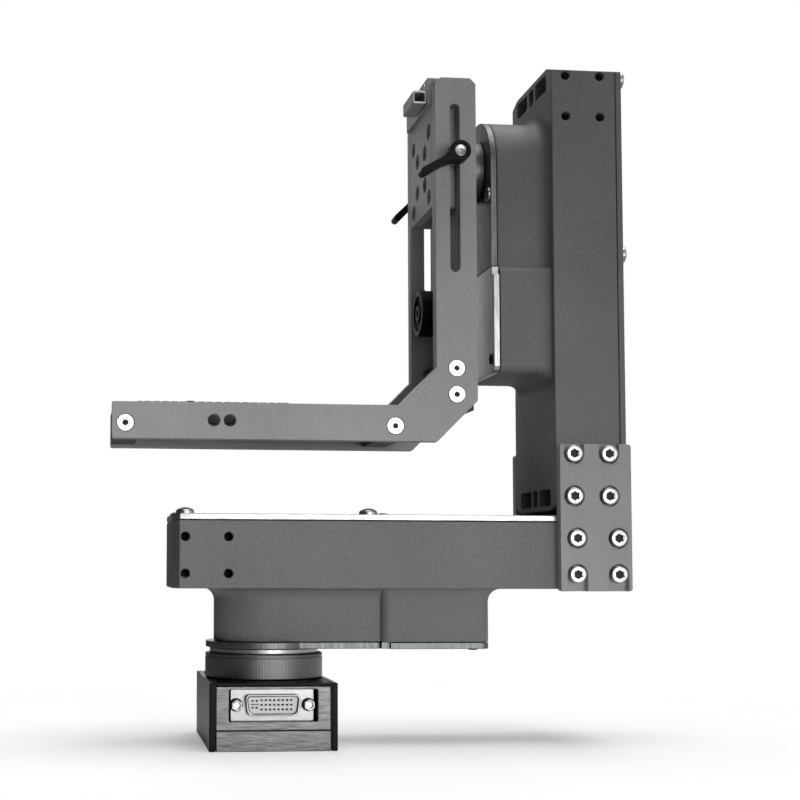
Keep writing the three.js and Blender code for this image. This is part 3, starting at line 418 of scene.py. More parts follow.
def plate(outlines, low, high, axis="z", edge=0.3):
    """A flat plate from an outline and the outlines of its holes, with every rim rounded."""
    curve = bpy.data.curves.new("outline", "CURVE")
    curve.dimensions = "2D"
    curve.fill_mode = "BOTH"
    for outline in outlines:
        spline = curve.splines.new("POLY")
        spline.points.add(len(outline) - 1)
        for point, place in zip(spline.points, outline):
            point.co = (place[0], place[1], 0, 1)
        spline.use_cyclic_u = True
    curve.extrude = (high - low) / 2 - edge
    curve.bevel_depth = edge
    curve.bevel_resolution = 2
    curve.offset = -edge
    holder = bpy.data.objects.new("outline", curve)
    mesh = bpy.data.meshes.new_from_object(holder)
    bpy.data.objects.remove(holder)
    shape = bmesh.new()
    shape.from_mesh(mesh)
    bmesh.ops.remove_doubles(shape, verts=shape.verts[:], dist=0.0005)
    middle = (low + high) / 2
    rise = Matrix.Translation((0, 0, -middle if axis == "y" else middle))
    bmesh.ops.transform(shape, matrix=LAY[axis] @ rise, verts=shape.verts[:])
    return mesh_of(shape)


def turned(profile, axis="z", centre=(0, 0, 0), steps=72):
    """A turned shape from pairs of radius and height, from axis to axis or in a closed ring."""
    shape = bmesh.new()
    ring_closed = profile[0][0] > 0
    rings = []
    for radius, height in profile:
        if radius < 1e-6:
            rings.append([shape.verts.new((0, 0, height))])
            continue
        angles = [2 * pi * k / steps for k in range(steps)]
        rings.append([shape.verts.new((radius * cos(a), radius * sin(a), height)) for a in angles])
    pairs = list(zip(rings, rings[1:] + rings[:1] if ring_closed else rings[1:]))
    for lower, upper in pairs:
        for k in range(steps):
            n = (k + 1) % steps
            # A ring on the axis is one point, so the face there is a triangle
            corners = [lower[k % len(lower)], lower[n % len(lower)],
                       upper[n % len(upper)], upper[k % len(upper)]]
            distinct = list(dict.fromkeys(corners))
            if len(distinct) > 2:
                shape.faces.new(distinct)
    lay = Matrix.Translation(centre) @ TURNED_LAY[axis]
    bmesh.ops.transform(shape, matrix=lay, verts=shape.verts[:])
    return mesh_of(shape)


def lofted(rings):
    """A closed shape through outlines of equal length, stacked from the first to the last."""
    shape = bmesh.new()
    layers = [[shape.verts.new(point) for point in ring] for ring in rings]
    count = len(rings[0])
    for lower, upper in zip(layers, layers[1:]):
        for k in range(count):
            n = (k + 1) % count
            shape.faces.new((lower[k], lower[n], upper[n], upper[k]))
    shape.faces.new(list(reversed(layers[0])))
    shape.faces.new(layers[-1])
    return mesh_of(shape)


def carve(mesh, cutters):
    """Takes the cutters' space out of a mesh."""
    blank = bpy.data.objects.new("blank", mesh)
    tool = bpy.data.objects.new("tool", joined(*cutters))
    SCENE.collection.objects.link(blank)
    SCENE.collection.objects.link(tool)
    cut = blank.modifiers.new("cut", "BOOLEAN")
    cut.operation = "DIFFERENCE"
    cut.solver = "EXACT"
    cut.object = tool
    bpy.context.view_layer.update()
    seen = bpy.context.evaluated_depsgraph_get()
    result = bpy.data.meshes.new_from_object(blank.evaluated_get(seen))
    bpy.data.objects.remove(blank)
    bpy.data.objects.remove(tool)
    return result


def piece(name, mesh, finish, body, stands_for=(), place=None, flared=False):
    """Puts a mesh in the scene as a piece of the object, on its body and in its finish."""
    slot, material = FINISHES[finish]
    if place is not None:
        mesh.transform(place)
    mesh.transform(Matrix.Scale(MM, 4))
    mesh.name = name
    mesh.materials.clear()
    mesh.materials.append(material)
    mesh.shade_smooth()
    mesh.set_sharp_from_angle(angle=radians(FLARED_SHARP if flared else SHARP))
    made = bpy.data.objects.new(name, mesh)
    SCENE.collection.objects.link(made)
    # Broad flat faces keep their own normals and only rounded edges shade softly. The bulges'
    # fillets would turn blotchy from it
    if not flared:
        even = made.modifiers.new("even_normals", "WEIGHTED_NORMAL")
        even.keep_sharp = True
    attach(made, body)
    if stands_for:
        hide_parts(*stands_for)
    return made


def second_finish(made, finish, belongs):
    """Gives another finish to the faces of a piece that the test picks."""
    made.data.materials.append(FINISHES[finish][1])
    for face in made.data.polygons:
        if belongs(face):
            face.material_index = 1


# A button-head screw with its hexagon socket, standing on its seat and facing the given way
def button_head(radius, height, axis, centre, facing=1):
    socket = radius * 0.42
    depth = height * 0.3
    angles = [radians(a) for a in range(0, 70, 10)]
    dome = [(radius * cos(t), height * (0.35 + 0.65 * sin(t)))
            for t in angles if radius * cos(t) > socket + 0.3]
    profile = ([(0, depth), (socket, depth), (socket, height * 0.97)] + dome[::-1]
               + [(radius, 0), (0, 0)])
    mesh = turned(profile, axis, steps=36)
    spin = Matrix.Scale(facing, 4, [float(name == axis) for name in "xyz"])
    mesh.transform(Matrix.Translation(centre) @ spin)
    if facing < 0:
        mesh.flip_normals()
    return mesh


def hexagon(centre, radius):
    return arc(centre, radius, 30, 390, 6)[:-1]


def make_base():
    for side, name in ((-1, "left"), (1, "right")):
        low, high = sorted((side * BASE_HALF_X, side * (BASE_HALF_X - CHEEK)))
        cheek = block((low, -BASE_HALF_Y, 0), (high, BASE_HALF_Y, BASE_TOP), 0.6)
        made = piece(f"base_cheek_{name}", cheek, "cheek_painted_lit_side_anodised", "base",
                     [f"base_{name}_cheek"])
        # Only the cheeks' side faces keep the grey, which is painted light; their edges and ends
        # stay black
        second_finish(made, "black_anodised_aluminium", lambda face: abs(face.normal.x) < 0.9)
    half = BASE_HALF_X - CHEEK - CLEAR
    foot = rounded((-half, half), (-BASE_HALF_Y, BASE_HALF_Y), 0.4, 2)
    bolt_holes = [circle((x, y), 2.7) for x in (-19, 19) for y in (-30, 30)]
    piece("base_foot_block", plate([foot] + bolt_holes, 0, FLOOR_TOP, "z", 0.35),
          "brushed_grey_aluminium", "base", ["base_floor"])
    piece("base_top_cover",
          plate([foot, circle((0, 0), SHAFT_BORE)], BASE_TOP - TOP_COVER, BASE_TOP, "z", 0.2),
          "black_anodised_aluminium", "base", ["base_top_plate"])
    low, high = FLOOR_TOP + CLEAR, BASE_TOP - TOP_COVER - CLEAR
    panel = rounded((-half, half), (low, high), 0.4, 2)
    window = rounded((-WINDOW_HALF, WINDOW_HALF), WINDOW_LEVELS, 0.7, 3)
    piece("base_connector_panel",
          plate([panel, window], PANEL_FRONT, PANEL_FRONT + PANEL_THICK, "y", 0.3),
          "brushed_grey_aluminium", "base", ["connector_panel"])
    piece("base_rear_panel", plate([panel], -PANEL_FRONT - PANEL_THICK, -PANEL_FRONT, "y", 0.3),
          "brushed_grey_aluminium", "base", ["rear_panel"])
    for x in (-21, 21):
        for z in (low + 4, high - 4):
            screw = button_head(2.4, 1.2, "y", (x, -PANEL_FRONT - 0.8, z))
            piece(f"rear_panel_screw_{'l' if x < 0 else 'r'}_{'a' if z < 20 else 'b'}", screw,
                  "stainless_steel", "base")


def shell_outline(top, bottom, half, corner, steps):
    """The connector's outline, wider at the top, with round corners."""
    mid = CONNECTOR_MIDDLE
    return soften([(-top, mid + half), (top, mid + half), (bottom, mid - half),
                   (-bottom, mid - half)], corner, steps=steps)


def make_connector():
    back = CONNECTOR_BACK
    mid = CONNECTOR_MIDDLE
    flange = rounded((-19.2, 19.2), (mid - 7.5, mid + 7.5), 0.8, 3)
    jack_holes = [circle((x, mid), 1.6) for x in (-JACKSCREW_X, JACKSCREW_X)]
    piece("connector_flange", plate([flange] + jack_holes, back, back + 1.6, "y", 0.2),
          "nickel_plate", "base", ["cable_connector"])
    outer, inner = shell_outline(12.9, 11.6, 4.9, 2.6, 6), shell_outline(12, 10.9, 4.1, 2.1, 6)
    piece("connector_shell", plate([outer, inner], back - 3.6, back + 0.4, "y", 0.25),
          "nickel_plate", "base")
    core = shell_outline(11.6, 10.5, 3.7, 1.8, 5)
    # Each contact's middle and half sizes: three rows of eight, four beside a flat blade
    contacts = [(-5.2 + column * 1.95, mid + 2.2 - row * 2.1, 0.55, 0.42)
                for row in range(3) for column in range(8)]
    contacts += [(x, mid + up, 0.5, 0.4) for x in (-9.3, -7.4) for up in (1.9, -1.2)]
    holes = [rounded((x - a, x + a), (z - b, z + b), 0.2, 2) for x, z, a, b in contacts]
    holes.append(rounded((-10.2, -6.4), (mid + 0.2, mid + 0.55), 0.1, 1))
    piece("connector_contact_block", plate([core] + holes, back - 2.2, back, "y", 0.12),
          "connector_thermoplastic", "base")
    # A black sheet behind the contact block: painted shade in the contact holes
    piece("connector_hole_shade_sheet", plate([core], back - 0.6, back + 0.2, "y", 0.1),
          "moulded_black_nylon", "base")
    for x, name in ((-JACKSCREW_X, "left"), (JACKSCREW_X, "right")):
        nut = plate([hexagon((x, mid), 2.75), circle((x, mid), 1.45, 24)], back - 4.4, back - 0.3,
                    "y", 0.25)
        thread = turned([(0, back - 2.4), (0.5, back - 2.4), (0.75, back - 2.9), (1.4, back - 2.9),
                         (1.4, back + 1), (0, back + 1)], "y", (x, 0, mid), 32)
        piece(f"jackscrew_{name}", nut, "nickel_plate", "base", [f"connector_jackscrew_{name}"])
        piece(f"jackscrew_thread_{name}", thread, "stainless_steel", "base")
        # A black ring a little wider than each nut, behind it: painted shade round the nut's edge
        rim = turned([(2.4, back - 0.9), (3.05, back - 0.9), (3.05, back - 0.1), (2.4, back - 0.1)],
                     "y", (x, 0, mid), 40)
        piece(f"jackscrew_shade_ring_{name}", rim, "black_steel_and_painted_shade", "base")


def make_pan_stack():
    bore = HUB_FLANGE_RADIUS + CLEAR
    radius, low, high = COLLAR
    ring = [(bore, low), (radius - 0.5, low), (radius, low + 0.5), (radius, high - 1.9),
            (radius - 0.3, high - 1.7), (radius - 0.3, high - 1.4), (radius, high - 1.2),
            (radius, high - 0.5), (radius - 0.5, high), (bore, high)]
    piece("pan_collar_ring", turned(ring, steps=160), "turned_grey_aluminium", "base",
          ["pan_collar"])
    radius, low, high = PAN_FLANGE
    disc = soften([(bore, low), (radius, low), (radius, high), (bore, high)], 0.3)
    piece("pan_flange_ring", turned(disc, steps=160), "machined_bright_aluminium", "base",
          ["pan_flange"])


def module_outline():
    side, a, b = SIDE_Y, MODULE_START, MODULE_END
    along, across = END_CHAMFER[0], SIDE_Y - END_CHAMFER[1]
    return soften([(a, -across), (a + along, -side), (b - along, -side), (b, -across),
                   (b, across), (b - along, side), (a + along, side), (a, across)], 0.6, steps=2)


def gear_outline(radius, reach):
    return arc((0, 0), radius, 90, 270, 48) + [(reach, -radius), (reach, radius)]


def flare_levels():
    """Pairs of level and outward growth, from the rounded lower edge up to the housing."""
    levels = [(BULGE_FLOOR, -0.5), (BULGE_FLOOR + 0.15, -0.2), (BULGE_FLOOR + 0.5, 0)]
    for i in range(9):
        angle = radians(90 * i / 8)
        levels.append((-FLARE + FLARE * sin(angle), FLARE * (1 - cos(angle))))
    return levels + [(1.5, FLARE)]


def motor_outline():
    half = MOTOR_HALF_Y
    return rounded((MOTOR_START, MOTOR_END), (-half, half), MOTOR_CORNER, 8)


def motor_ring(growth, level):
    ring = []
    for x, y in motor_outline():
        outward = growth if x > MOTOR_MIDDLE or growth < 0 else 0
        side = copysign(growth / 3 if growth > 0 else growth, y)
        ring.append((x + (outward if x > MOTOR_MIDDLE else -outward), y + side, level))
    return ring


# The tapped holes' places along and up a module's side, at the free end or at the corner joint
def hole_places(at_joint):
    if at_joint:
        first, step = MODULE_END - HOLE_FROM_JOINT, -HOLE_PITCH
    else:
        first, step = MODULE_START + HOLE_FROM_FREE_END, HOLE_PITCH
    return [(first + i * step, up) for i in (0, 1) for up in HOLE_ROWS]


def tapped_hole(x, z, side):
    chamfer = HOLE_MOUTH - HOLE_RADIUS
    profile = [(0, SIDE_Y - HOLE_DEPTH - 1), (HOLE_RADIUS, SIDE_Y - HOLE_DEPTH),
               (HOLE_RADIUS, SIDE_Y - chamfer), (HOLE_MOUTH, SIDE_Y), (HOLE_MOUTH, SIDE_Y + 1),
               (0, SIDE_Y + 1)]
    mesh = face_side(turned(profile, "y", steps=32), side)
    mesh.transform(Matrix.Translation((x, 0, z)))
    return mesh


def make_housing_body():
    body = plate([module_outline()], 0, HOUSING_TOP, "z", 0.5)
    cutters = []
    for at_joint in (False, True):
        for x, z in hole_places(at_joint):
            cutters += [tapped_hole(x, z, side) for side in (-1, 1)]
    for start in (MODULE_START + POCKET_WALL, MODULE_END - POCKET_WALL - POCKET):
        for band in POCKET_BANDS:
            pocket = rounded((start, start + POCKET), band, 1.6, 5)
            cutters.append(plate([pocket], -1, 6, "z", 0.3))
    return carve(body, cutters)


def make_module(prefix, place):
    def add(name, mesh, finish, node=None, flared=False):
        stands_for = [f"{prefix}_{node}"] if node else ()
        return piece(f"{prefix}_{name}", mesh, finish, "arm", stands_for, place, flared)

    housing = add("housing_body", make_housing_body(), "charcoal_powder_coat", "housing")
    if prefix == "pan":
        paint_shade_in_holes(housing, place)
    gear_rings = [[(x, y, level) for x, y in gear_outline(BULGE_RADIUS + growth, MOTOR_START + 2)]
                  for level, growth in flare_levels()]
    motor_rings = [motor_ring(growth, level) for level, growth in flare_levels()]
    add("gear_bulge", lofted(gear_rings), "charcoal_powder_coat", flared=True)
    add("motor_bulge", lofted(motor_rings), "charcoal_powder_coat", flared=True)
    if prefix == "pan":
        lid_finish, motor_cover_finish = "machined_bright_aluminium", "dull_machined_aluminium"
    else:
        lid_finish, motor_cover_finish = "charcoal_powder_coat", "edge_milled_aluminium"
    lid = add("lid_plate", plate([module_outline()], *LID_LEVELS, "z", 0.35), lid_finish, "lid")
    coat_face(lid, place)
    low, high = COVER_LEVELS
    bore = HUB_RADIUS + CLEAR
    cover_outline = soften(gear_outline(BULGE_RADIUS, MOTOR_START - CLEAR), 0.3, steps=1)
    strip = plate([cover_outline, circle((0, 0), bore, 96)], low, high, "z", 0.3)
    if prefix == "pan":
        rim = [(bore, low), (RIM_RADIUS, low), (RIM_RADIUS, high), (bore, high)]
        strip = joined(strip, turned(soften(rim, 0.35), steps=160))
    add("gear_cover_strip", strip, "dull_machined_aluminium", "gear_cover")
    notch = block((MOTOR_START - 1, -SIDE_Y, low - 1),
                  (MOTOR_START + NOTCH_LONG, -MOTOR_HALF_Y + NOTCH_DEEP, high + 1), 0.3)
    cover = carve(plate([motor_outline()], low, high, "z", 0.3), [notch])
    add("motor_cover_plate", cover, motor_cover_finish, "motor_cover")
    make_module_screws(prefix, place)
    make_hub(prefix, place)


# The output hub and its hollow shaft, which stand still on the base and turn with the cradle
def make_hub(prefix, place):
    bore, hub, flange = SHAFT_BORE, HUB_RADIUS, HUB_FLANGE_RADIUS
    shoulder = COVER_LEVELS[0] - CLEAR
    end = COVER_LEVELS[0] - HUB_REACH[prefix]
    seat = BULGE_FLOOR - CLEAR
    profile = [(bore, end + 0.4), (bore + 0.4, end), (flange - 0.6, end), (flange, end + 0.6),
               (flange, shoulder - 0.3), (flange - 0.3, shoulder), (hub, shoulder), (hub, seat),
               (SHAFT_RADIUS, seat), (SHAFT_RADIUS, SHAFT_TOP), (bore, SHAFT_TOP)]
    body = {"pan": "base", "tilt": "cradle"}[prefix]
    piece(f"{prefix}_output_hub", turned(profile, steps=120), "satin_turned_steel", body,
          [f"{prefix}_output_shaft"], place)


# Paints the lid's broad outer face, so that only its edges stay bare metal
def coat_face(lid, place):
    outward = (place.to_3x3() @ Vector((0, 0, 1))).normalized()
    second_finish(lid, "charcoal_powder_coat", lambda face: face.normal.dot(outward) > 0.99)


# The tapped holes' walls take the black finish: painted shade inside the holes
def paint_shade_in_holes(housing, place):
    back = place.inverted()
    holes = hole_places(False) + hole_places(True)

    def in_hole(face):
        x, y, z = back @ (face.center / MM)
        inside = SIDE_Y - HOLE_DEPTH - 1.5 < abs(y) < SIDE_Y - 0.4
        return inside and any(hypot(x - a, z - b) < HOLE_MOUTH + 0.05 for a, b in holes)

    second_finish(housing, "black_steel_and_painted_shade", in_hole)


def make_module_screws(prefix, place):
    side_line = SIDE_Y - 4.9
    lid_spots = [(6, -side_line), (6, side_line), (92, -side_line), (110, side_line)]
    for n, (along, y) in enumerate(lid_spots):
        screw = button_head(4.3, 2.9, "z", (MODULE_START + along, y, LID_LEVELS[1]))
        piece(f"{prefix}_lid_screw_{n}", screw, "stainless_steel", "arm", (), place)
    cover_spots = [(16, -20.2, 3.4, 1.4), (16, 20.2, 3.4, 1.4), (MOTOR_END - 7, -22.5, 2.6, 0.8),
                   (MOTOR_END - 7, 22.5, 2.6, 0.8)]
    for n, (x, y, radius, height) in enumerate(cover_spots):
        if prefix == "pan" and n < 2:
            continue
        screw = button_head(radius, height, "z", (x, y, COVER_LEVELS[0]), -1)
        finish = "stainless_steel" if n < 2 else "black_steel_and_painted_shade"
        piece(f"{prefix}_cover_screw_{n}", screw, finish, "arm", (), place)


def cap_screw(x, z, floor, side):
    """A socket cap screw in its counterbore, with a rounded head and a hexagon socket."""
    r, top = CAP_RADIUS, floor + CAP_HEIGHT
    profile = [(0, floor - 1), (r, floor - 1), (r, top - 0.6), (r - 0.08, top - 0.25),
               (r - 0.28, top - 0.08), (r - 0.6, top), (2.5, top), (2.35, top - 0.2),
               (2.35, top - 0.4), (0, top - 0.4)]
    head = turned(profile, "y", (x, 0, z), 48)
    socket = plate([hexagon((x, z), 2.3)], floor + 2.4, floor + 6, "y", 0.05)
    return face_side(carve(head, [socket]), side)


# A black hexagon at a socket's bottom: painted shade in the socket
def painted_socket_shade(name, x, z, low, high, radius, side, body):
    mesh = plate([hexagon((x, z), radius)], low, high, "y", 0.05)
    piece(name, face_side(mesh, side), "black_steel_and_painted_shade", body)


def make_corner_plates():
    arm_holes = [(x, ARM_INNER_Z + up) for x, up in hole_places(True)]
    column_holes = [(COLUMN_INNER_X + up, TILT_AXIS_Z - along) for along, up in hole_places(True)]
    left, right = COLUMN_INNER_X, MODULE_END
    lowest = min(z for _, z in arm_holes)
    highest = max(z for _, z in column_holes)
    bottom, top = ARM_INNER_Z - 1, highest + CORNER_ABOVE_SCREW
    seat = SIDE_Y + CLEAR
    face = seat + CORNER_PLATE
    floor = face - COUNTERBORE_DEPTH
    c = CORNER_RADIUS
    solid = rounded((left, right), (bottom, top), c, 4)
    # The outer layer's outline runs round the counterbores that open at the plate's ends
    r = COUNTERBORE_RADIUS
    low_row = sorted(p for p in arm_holes if p[1] == lowest)
    high_row = sorted(p for p in column_holes if p[1] == highest)
    outline = arc((left + c, bottom + c), c, 180, 270, 4)
    for x, z in low_row:
        outline += [(x - r, bottom)] + arc((x, z), r, 180, 0, 16) + [(x + r, bottom)]
    outline += arc((right - c, bottom + c), c, 270, 360, 4) + arc((right - c, top - c), c, 0, 90, 4)
    for x, z in reversed(high_row):
        outline += [(x + r, top)] + arc((x, z), r, 0, -180, 16) + [(x - r, top)]
    outline += arc((left + c, top - c), c, 90, 180, 4)
    bores = [circle(p, r) for p in arm_holes + column_holes if p not in low_row + high_row]
    for side, name in ((-1, "front"), (1, "rear")):
        back = plate([solid], seat, floor, "y", 0.15)
        front = plate([outline] + bores, floor - 0.1, face, "y", 0.35)
        mesh = face_side(joined(back, front), side)
        piece(f"{name}_corner_bracket", mesh, "light_charcoal_powder_coat", "arm",
              [f"corner_plate_{name}"])
        for n, (x, z) in enumerate(arm_holes + column_holes):
            piece(f"{name}_cap_screw_{n}", cap_screw(x, z, floor, side), "stainless_steel", "arm")
            painted_socket_shade(f"{name}_cap_socket_shade_{n}", x, z, floor + 2.3, floor + 3.6, 2.2, side, "arm")


def countersunk_screw(x, z, side):
    """A countersunk screw, flush with its plate, with a hexagon socket."""
    face = CRADLE_HALF
    profile = [(r, face - down) for r, down in (
        (0, 5), (2, 5), (2, 2.8), (3.9, 0.5), (4, 0.15), (3.85, 0), (2, 0), (1.85, 0.12),
        (0, 0.12))]
    head = turned(profile, "y", (x, 0, z), 48)
    socket = plate([hexagon((x, z), 1.45)], face - 1.5, face + 1, "y", 0.04)
    return face_side(carve(head, [socket]), side)


def make_cradle():
    left, right, upright = CRADLE_LEFT, CRADLE_RIGHT, UPRIGHT_LEFT
    bottom, top, cut = CRADLE_BOTTOM, CRADLE_TOP, TOP_CHAMFER
    outline = (arc((left + 1, bottom + 1), 1, 180, 270, 4)
               + [(right - OUTER_CHAMFER, bottom), (right, bottom + OUTER_CHAMFER),
                  (right, top - cut), (right - cut, top), (upright + cut, top),
                  (upright, top - cut), (upright, SHELF_TOP + INNER_CHAMFER),
                  (upright - INNER_CHAMFER, SHELF_TOP)]
               + arc((left + 1, SHELF_TOP - 1), 1, 90, 180, 4))
    slot = (arc((SLOT_X, SLOT_ENDS[1]), SLOT_HALF, 0, 180, 16)
            + arc((SLOT_X, SLOT_ENDS[0]), SLOT_HALF, 180, 360, 16))
    holes = [circle((x, 151.5), 2.9) for x in (-27.1, -19.6)]
    sinks = [circle((x, z), SINK_RADIUS) for _, x, z in SINKS]
    low, high = CRADLE_HALF - CRADLE_PLATE, CRADLE_HALF
    for side, name in ((-1, "front"), (1, "rear")):
        mesh = face_side(plate([outline, slot] + holes + sinks, low, high, "y", 0.35), side)
        piece(f"cradle_{name}_side", mesh, "light_charcoal_powder_coat", "cradle",
              [f"cradle_{name}_plate"])
        for place, x, z in SINKS:
            piece(f"{name}_{place}_sink_screw", countersunk_screw(x, z, side),
                  "stainless_steel", "cradle", [f"{name}_{place}_screw"])
            painted_socket_shade(f"{name}_{place}_socket", x, z, high - 1.6, high - 1.2, 1.4, side, "cradle")
    inside = (-CRADLE_INSIDE, CRADLE_INSIDE)
    flat = rounded(inside, (183.9, 316), 0.5, 2)
    back = plate([flat, circle((0, TILT_AXIS_Z), SHAFT_BORE), circle((0, KNOB_Z), 4.9)],
                 BACK_PANEL_LEFT, CRADLE_RIGHT, "x", 0.35)
    piece("cradle_back_panel", back, "charcoal_powder_coat", "cradle", ["cradle_back_plate"])
    piece("cradle_corner_bar",
          block((84.5, inside[0], 158.4), (CRADLE_RIGHT, inside[1], 183.6), 0.5),
          "dark_powder_coat", "cradle", ["cradle_corner_block"])
    make_shelf()


def make_shelf():
    left, right = CRADLE_LEFT + CLEAR, 65
    under = SHELF_TOP - 5
    flat = rounded((left, right), (-CRADLE_INSIDE, CRADLE_INSIDE), 0.5, 2)
    top = plate([flat, circle((CAMERA_SCREW_X, 0), CAMERA_HOLE)], under, SHELF_TOP, "z", 0.35)
    ribs = [block((a, -CRADLE_INSIDE, under - 10.6), (b, CRADLE_INSIDE, under + 0.4), 0.4)
            for a, b in ((left, left + 12), (right - 12, right))]
    piece("cradle_shelf", joined(top, *ribs), "dark_powder_coat", "cradle", ["shelf_plate"])
    # The pad's outline seen from the front, with 16 grooves across it
    foot, face, tip = 160.1, 161.2, 160.5
    pad = [(-66.3, foot), (13.5, foot), (13.5, tip), (8.5, face)]
    for n in reversed(range(16)):
        left, low = -60 + n * 4.2, face - 0.35
        pad += [(left + 0.8, face), (left + 0.7, low), (left + 0.1, low), (left, face)]
    pad += [(-61.3, face), (-66.3, tip)]
    slab = plate([pad], -20.2, 20.2, "y", 0.05)
    low, high = foot - 2, face + 2
    holes = [turned([(0, low), (r, low), (r, high), (0, high)], "z", (x, 0, 0), 40)
             for x, r in ((CAMERA_SCREW_X, CAMERA_HOLE), (PIN_X, 2.65))]
    piece("shelf_rubber_pad", carve(slab, holes), "black_rubber", "cradle", ["shelf_pad"])
    pin = [(0, foot), (2.35, foot), (2.35, 163.1), (2.1, 163.5), (1.7, 163.7), (0, 163.7)]
    piece("camera_index_pin", turned(pin, "z", (PIN_X, 0, 0), 40), "black_steel_and_painted_shade", "cradle",
          ["index_pin"])


def make_camera_screw():
    wheel_low, wheel_high, wheel_radius, tip, pitch = 147.5, 154.5, 10.5, 162, 0.6
    r = THREAD_RADIUS
    profile = soften([(0, wheel_low), (wheel_radius, wheel_low), (wheel_radius, wheel_high),
                      (r, wheel_high)], 0.9, closed=False)
    z = wheel_high + 0.5
    while z < tip - pitch:
        profile += [(r, z), (r - 0.25, z + pitch / 2)]
        z += pitch
    profile += [(r, tip - 0.5), (r - 0.5, tip), (0, tip)]
    piece("camera_thumbscrew", turned(profile, "z", (CAMERA_SCREW_X, 0, 0), 120),
          "knurled_black_aluminium", "camera_screw", ["camera_screw"])


def make_knob():
    face = UPRIGHT_LEFT - 2.1
    # Each ring's radius and its depth behind the face
    rings = [(0, 3), (2, 3), (2, 0.2), (2.2, 0), (3.9, 0), (4.2, 0.3), (4.4, 1.2), (6.2, 1.2),
             (6.4, 0.7), (7.2, 0.7), (7.4, 1.2), (8.4, 1.2), (8.6, 0.2), (8.9, 0), (10.6, 0),
             (11.2, 0.4), (11.4, 1), (11.4, 7), (11.1, 7.7), (10.6, 8), (4.6, 8)]
    end = CRADLE_RIGHT - CLEAR
    profile = [(r, face + back) for r, back in rings] + [(4.6, end), (0, end)]
    piece("round_lock_knob", turned(profile, "x", (0, 0, KNOB_Z), 96), "black_anodised_aluminium",
          "lock_knob", ["lock_knob"])


def make_carriage():
    bottom, top = 257, CARRIAGE_TOP
    near, far = UPRIGHT_LEFT, UPRIGHT_LEFT + 4
    half = CRADLE_INSIDE
    face = rounded((-half, half), (bottom, top), 0.4, 2)
    holes = [circle((sy * y, CLAMP_Z + sz * rise), 3.8, 48) for y, rise in ((8, 8), (16.5, 16.2))
             for sy in (-1, 1) for sz in (-1, 1)]
    front = plate([face] + holes, near, far, "x", 0.3)
    lip = block((near - 2, -half, top - 13.4), (near + 1, half, top), 0.35)
    cheeks = []
    for side in (-1, 1):
        low, high = sorted((side * (half - 4), side * half))
        cheeks.append(block((far - 0.5, low, bottom), (near + 11.6, high, top - 9.4), 0.3))
    piece("sliding_carriage", joined(front, lip, *cheeks), "light_charcoal_powder_coat", "carriage",
          ["carriage"])
    x0, x1 = 69.6, 76.2
    tube = plate([rounded((x0, x1), (307.9, 314.1), 0.7, 4),
                  rounded((x0 + 0.9, x1 - 0.9), (308.8, 313.2), 0.3, 3)], -22.4, -0.1, "y", 0.2)
    web = block((x0 + 0.5, -6.4, 308.4), (x1 - 0.5, -0.4, 313.6), 0.2)
    bar = piece("carriage_stop_bar", joined(tube, web), "light_charcoal_powder_coat", "carriage",
                ["carriage_bar"])
    second_finish(bar, "stainless_steel", lambda face: face.normal.y < -0.5)
    for n, y in enumerate((-17, -5)):
        screw = button_head(1.9, 1.1, "x", (near - 1.9, y, 317.2), -1)
        piece(f"carriage_bar_screw_{n}", screw, "stainless_steel", "carriage")


def make_lever(side, name, angle):
    root = CRADLE_HALF + CLEAR
    start = root + 3
    end = start + 8.9
    stud = CRADLE_INSIDE - 4
    collar = turned([(0, stud), (2.1, stud), (2.1, root), (4.2, root), (4.3, root + 0.3),
                     (3.6, start), (3.4, start + 1), (0, start + 1)], "y", steps=48)
    neck = 1.62
    outline = (arc((0, 0), 5, 30, 330, 30) + [(10, -neck)] + arc((19.8, 0), 1.8, -90, 90, 8)
               + [(10, neck)])
    arm = plate([soften(outline, 0.5, steps=2), circle((0, 0), 2.95, 32)], start, end, "y", 0.6)
    button = turned([(0, end - 1.6), (1.1, end - 1.6), (1.1, end - 0.7), (2.0, end - 0.6),
                     (2.7, end - 0.3), (2.85, end - 0.6), (2.85, start + 0.5),
                     (0, start + 0.5)], "y", steps=48)
    turn = Matrix.Rotation(-radians(angle), 4, "Y")
    mirror = Matrix.Scale(-1, 4, (0, 1, 0)) if side < 0 else Matrix.Identity(4)
    place = Matrix.Translation((SLOT_X, 0, CLAMP_Z)) @ mirror @ turn
    parts = (("handle", arm, "moulded_black_nylon"), ("button", button, "stainless_steel"),
             ("spacer", collar, "stainless_steel"))
    for part, mesh, finish in parts:
        mesh.transform(place)
        if side < 0:
            mesh.flip_normals()
        stands_for = [f"{name}_clamp_lever"] if part == "handle" else ()
        piece(f"{name}_lever_{part}", mesh, finish, f"{name}_lever", stands_for)


# The solids that stay as they are get their finish in place
def dress_solids():
    kept = {
        "outer_bearing": "ground_bearing_steel", "inner_bearing": "ground_bearing_steel",
        "output_pulley": "brushed_grey_aluminium", "motor_pulley": "brushed_grey_aluminium",
        "belt": "black_rubber", "motor": "black_anodised_aluminium", "driver_board": "solder_mask",
    }
    finishes = {f"{prefix}_{node}": finish
                for prefix in ("pan", "tilt") for node, finish in kept.items()}
    finishes["slip_ring"] = "moulded_black_nylon"
    for node, finish in finishes.items():
        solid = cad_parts[node]
        solid.data.materials.clear()
        solid.data.materials.append(FINISHES[finish][1])


